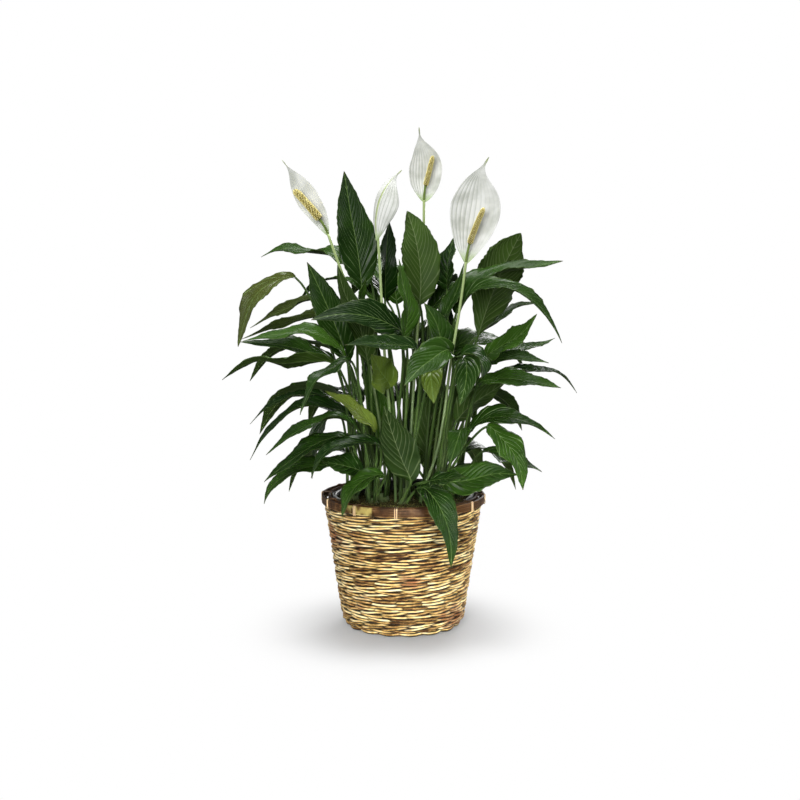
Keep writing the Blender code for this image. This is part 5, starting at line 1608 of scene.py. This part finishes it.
def tube_of(places, normal, radius_at, sides):
    """A closed tube along places, with how far along and round it each point stands."""
    verts = []
    kinds = {"share": [], "turn": []}
    last = len(places) - 1
    before = places[0][1]
    for i, (point, way) in enumerate(places):
        normal = carried(normal, before, way)
        before = way
        side = way.cross(normal)
        for k in range(sides):
            turn = 2 * math.pi * k / sides
            out = side * math.cos(turn) + normal * math.sin(turn)
            verts.append(point + out * radius_at(i / last))
            kinds["share"].append(i / last)
            kinds["turn"].append(0.5 + 0.5 * math.sin(turn))
    faces = closed_tube_faces(len(places), sides)
    return np.array(verts), faces, {label: np.array(value) for label, value in kinds.items()}


def spathe_width(share, widest):
    """The spathe's width as a share of its greatest, ending in a thread."""
    return max(THREAD_WIDE, abs(math.sin(math.pi * share**widest)) ** (0.85 + 1.9 * share**3))


def spathe_of(plan, spine, opens):
    """A thin hooded sheet, whose section is an arc that is hollow the way it opens."""
    curl = math.radians(plan["curl"])
    shares = [i / (SPATHE_ROWS - 1) for i in range(SPATHE_ROWS)]
    shift = random.Random(plan["spathe_wide"]).uniform(0, 6)
    fronts = []
    backs = []
    kinds = {"share": [], "part": []}
    for share, (point, way) in zip(shares, along(spine, shares)):
        hollow = (opens - way * opens.dot(way)).normalized()
        side = way.cross(hollow)
        width = plan["spathe_wide"] / 1000 * spathe_width(share, plan["widest"])
        width *= 1 - 0.75 * max(0, share - THREAD_FROM) / (1 - THREAD_FROM)
        bend = min(curl * (1 - 0.5 * share), width / SPATHE_CLEAR)
        radius = width / bend
        centre = point + hollow * radius
        calm = min(1.0, width / RIBBED_WIDTH)
        for k in range(SPATHE_COLUMNS):
            part = k / (SPATHE_COLUMNS - 1) - 0.5
            turn = part * bend
            out = side * math.sin(turn) - hollow * math.cos(turn)
            pleated = 0.25 + 0.75 * math.exp(-((part + 0.2) / 0.22) ** 2)
            rib = RIB_HEIGHT * pleated * math.cos(part * SPATHE_RIBS * 2 * math.pi) * calm
            wave = math.sin(share * 13 + shift + part * 3) * 0.6 + math.sin(share * 23 + part * 5) * 0.4
            wave *= HEM_WAVE * abs(2 * part) ** 3 * calm
            thick = SPATHE_THICK / 2 * (1 - 0.55 * abs(2 * part) ** 2)
            fronts.append(centre + out * (radius - thick + rib + wave))
            backs.append(centre + out * (radius + thick + rib + wave))
            kinds["share"].append(share)
            kinds["part"].append(part)
    both = {label: np.array(value + value) for label, value in kinds.items()}
    both["hollow"] = np.repeat([1.0, 0.0], len(fronts))
    return np.array(fronts + backs), sheet_faces(SPATHE_ROWS, SPATHE_COLUMNS), both


def florets_on(name, places, radius_at, width):
    """Tiny knobs set in spirals all round the spadix, one growth of points on its axis curve."""
    axis_mesh = bpy.data.meshes.new(name)
    rows = [point for point, _ in places]
    axis_mesh.from_pydata(rows, [(i, i + 1) for i in range(len(rows) - 1)], [])
    layer = axis_mesh.attributes.new("radius_here", "FLOAT", "POINT")
    layer.data.foreach_set("value", [radius_at(i / (len(rows) - 1)) for i in range(len(rows))])
    sizes = {"Axis": None, "Florets": FLORETS, "Knob": width * FLORET_SIZE, "First": FIRST_FLORET}
    tree, size = new_growth(name, sizes)
    start = Wire(tree)
    axis = start.node("GeometryNodeMeshToCurve", {}, {0: size["Axis"]})
    seeds = start.node("GeometryNodePoints", {}, {0: size["Florets"]})
    number = start.node("GeometryNodeInputIndex")
    place = size["First"] + (1 - size["First"]) * ((number + 0.5) / size["Florets"]) ** 0.96
    radius_here = start.node("GeometryNodeInputNamedAttribute", {"data_type": "FLOAT"}, {0: "radius_here"})
    here = start.node("GeometryNodeSampleCurve", {"mode": "FACTOR", "use_all_curves": True}, {
        0: axis, 1: radius_here, 2: place})
    turn = number * GOLDEN_ANGLE
    normal = here.out("Normal")
    aside = start.node("ShaderNodeVectorMath", {"operation": "CROSS_PRODUCT"}, {
        0: here.out("Tangent"), 1: normal})
    outward = normal.scaled(turn.math("COSINE")).plus(aside.scaled(turn.math("SINE")))
    spot = here.out("Position").plus(outward.scaled(here))
    seeds = seeds.node("GeometryNodeSetPosition", {}, {0: seeds, 2: spot})
    facing = start.node("FunctionNodeAlignRotationToVector", {"axis": "Z"}, {2: outward})
    knob = start.node("GeometryNodeMeshIcoSphere", {}, {0: size["Knob"], 1: 2})
    knob = knob.node("GeometryNodeTransform", {}, {0: knob, 3: (1.0, 1.0, 1.3)})
    over = start.node("GeometryNodeInputPosition").axis("Z")
    knob = knob.keeping("rise", over / size["Knob"] * 0.45 + 0.45)
    seeds = seeds.keeping("floret", drawn(0.0, 1.0, number, 3))
    grow = drawn(0.82, 1.12, number, 8)
    knobs = seeds.node("GeometryNodeInstanceOnPoints", {}, {0: seeds, 2: knob, 5: facing, 6: grow})
    return grown(name, tree, knobs, cream, sizes, axis_mesh)


def stalk_radius(share):
    """A flower stalk tapers a little to its top."""
    return STALK_RADIUS * (1.08 - 0.1 * share)


for name, plan in BLOOMS.items():
    foot = Vector((*plan["foot"], HOLE_FLOOR))
    stalk_points = [foot, foot + Vector((0, 0, STALK_UPRIGHT))]
    stalk_points += [seen_at(a, d, back / 100) for a, d, back in plan["stalk"]]
    rows = [i / STALK_ROWS for i in range(STALK_ROWS + 1)]
    places = along(stalk_points, rows, Vector((0, 0, 1)))
    top, up = places[-1]
    normal = up.orthogonal().normalized()
    stalk = tube_of(places, Vector((1, 0, 0)), stalk_radius, STALK_SIDES)
    made = skinned(f"{name}_stem", [stalk], stalk_finish)
    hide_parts(f"{name}_stalk")
    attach(made, "root")

    axis = [top + up * SPADIX_GAP] + [seen_at(a, d, back / 100) for a, d, back in plan["spadix"]]
    half = plan["spadix_wide"] / 2000

    def spadix_radius(share):
        grown_by = min(1.0, max(0.0, (share - SPADIX_FOOT) / 0.05))
        thick = half * (0.98 - 0.2 * share) - FLORET_SUNK
        radius = SPADIX_STEM + (thick - SPADIX_STEM) * grown_by
        if share > SPADIX_ROUND:
            radius *= math.sqrt(max(0.01, 1 - ((share - SPADIX_ROUND) / SPADIX_CAP) ** 2))
        return radius

    places = along(axis, [i / SPADIX_ROWS for i in range(SPADIX_ROWS + 1)], up)
    core = tube_of(places, normal, spadix_radius, SPADIX_SIDES)
    # The rod's low rise puts it in the florets' painted shade.
    core[2]["rise"] = np.full(len(core[0]), 0.25)
    core[2]["floret"] = np.full(len(core[0]), 0.3)
    core[2]["stalk"] = 1 - np.clip((core[2]["share"] - SPADIX_FOOT) * 40, 0.0, 1.0)
    knobs = florets_on(f"{name}_florets", places, spadix_radius, plan["spadix_wide"] / 1000)
    made = skinned(f"{name}_rod", [core], cream)
    for piece in (made, knobs):
        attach(piece, "root")
    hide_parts(f"{name}_spadix")

    opens = Vector(plan["opens"]) if plan["opens"] else EYE - top
    opens = (opens - up * opens.dot(up)).normalized()
    seat = top - up * SPATHE_SEAT - opens * SPATHE_CLEAR
    spine = [seat] + [seen_at(a, d, back / 100) for a, d, back in plan["spathe"]]
    made = skinned(f"{name}_hood", [spathe_of(plan, spine, opens)], petal)
    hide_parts(f"{name}_spathe")
    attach(made, "root")


# The floor and the light, which are no part of the plant: a pale floor that fades into a white studio, with
# soft shade round the basket's foot, cast by the lamps and partly painted: near the basket the floor is a
# darker paper that glows less, in an ellipse set a little forward.
ROOM_LIGHT = 0.28
FLOOR_REACH = 4.0
SHADE_WIDE = 1.3
SHADE_FORWARD = 0.035
SHADE_FULL, SHADE_END = 0.08, 0.37

ground, shader, start = new_finish("studio_paper", 0.9, 0.0)
aside, ahead = start.objects().axis("X"), start.objects().axis("Y") + SHADE_FORWARD
middle = (aside * aside * SHADE_WIDE + ahead * ahead).math("SQRT")
# Painted shade, with the lamps' own: near marks the ellipse where the floor turns from glow to darker
# paper.
near = 1 - middle.between(SHADE_FULL, SHADE_END)
paper = near * near * 0.9
straight = start.node("ShaderNodeLightPath")
glow = (1 - paper) * (straight * (1 - ROOM_LIGHT) + ROOM_LIGHT)
start.tree.links.new((paper * 0.68).socket, shader.inputs["Base Color"])
start.tree.links.new(glow.socket, shader.inputs["Emission Color"])
shader.inputs["Emission Strength"].default_value = 1.0

floor_mesh = bpy.data.meshes.new("studio_floor")
corners = [(x * FLOOR_REACH, y * FLOOR_REACH, 0) for x, y in ((-1, -1), (1, -1), (1, 1), (-1, 1))]
floor_mesh.from_pydata(corners, [], [(0, 1, 2, 3)])
floor_mesh.materials.append(ground)
floor = bpy.data.objects.new("studio_floor", floor_mesh)
bpy.context.scene.collection.objects.link(floor)

world = bpy.data.worlds.new("studio")
world.use_nodes = True
tree = world.node_tree
start = Wire(tree)
seen_straight = start.node("ShaderNodeLightPath")
room = start.node("ShaderNodeBackground", {}, {0: (1.0, 1.0, 1.0, 1.0), 1: ROOM_LIGHT})
behind = start.node("ShaderNodeBackground", {}, {0: (1.0, 1.0, 1.0, 1.0), 1: 1.0})
both = start.node("ShaderNodeMixShader", {}, {0: seen_straight, 1: room, 2: behind})
tree.links.new(both.socket, tree.nodes["World Output"].inputs["Surface"])
bpy.context.scene.world = world
bpy.context.scene.view_settings.view_transform = "Standard"


def soft_light(name, place, aim, wide, power, spread=180):
    """A square lamp that faces its aim, with its width in metres and its power in watts."""
    lamp = bpy.data.lights.new(name, "AREA")
    lamp.spread = math.radians(spread)
    lamp.size = wide
    lamp.energy = power
    holder = bpy.data.objects.new(name, lamp)
    holder.location = place
    holder.rotation_euler = (Vector(aim) - Vector(place)).to_track_quat("-Z", "Y").to_euler()
    bpy.context.scene.collection.objects.link(holder)


soft_light("overhead", (0.0, 0.25, 2.6), (0, 0, 0.2), 0.9, 56)
soft_light("front", (-0.5, -2.6, 1.15), (0, 0, 0.3), 1.1, 62)
soft_light("basket", (0.55, -1.5, 0.12), (0, 0, 0.085), 0.4, 0.80, 20)
soft_light("behind", (0.9, 2.4, 1.1), (0, 0, 0.35), 1.4, 46)
soft_light("left", (-2.4, 0.9, 0.9), (0, 0, 0.35), 1.2, 11)
soft_light("right", (2.4, 0.9, 0.9), (0, 0, 0.35), 1.2, 11)
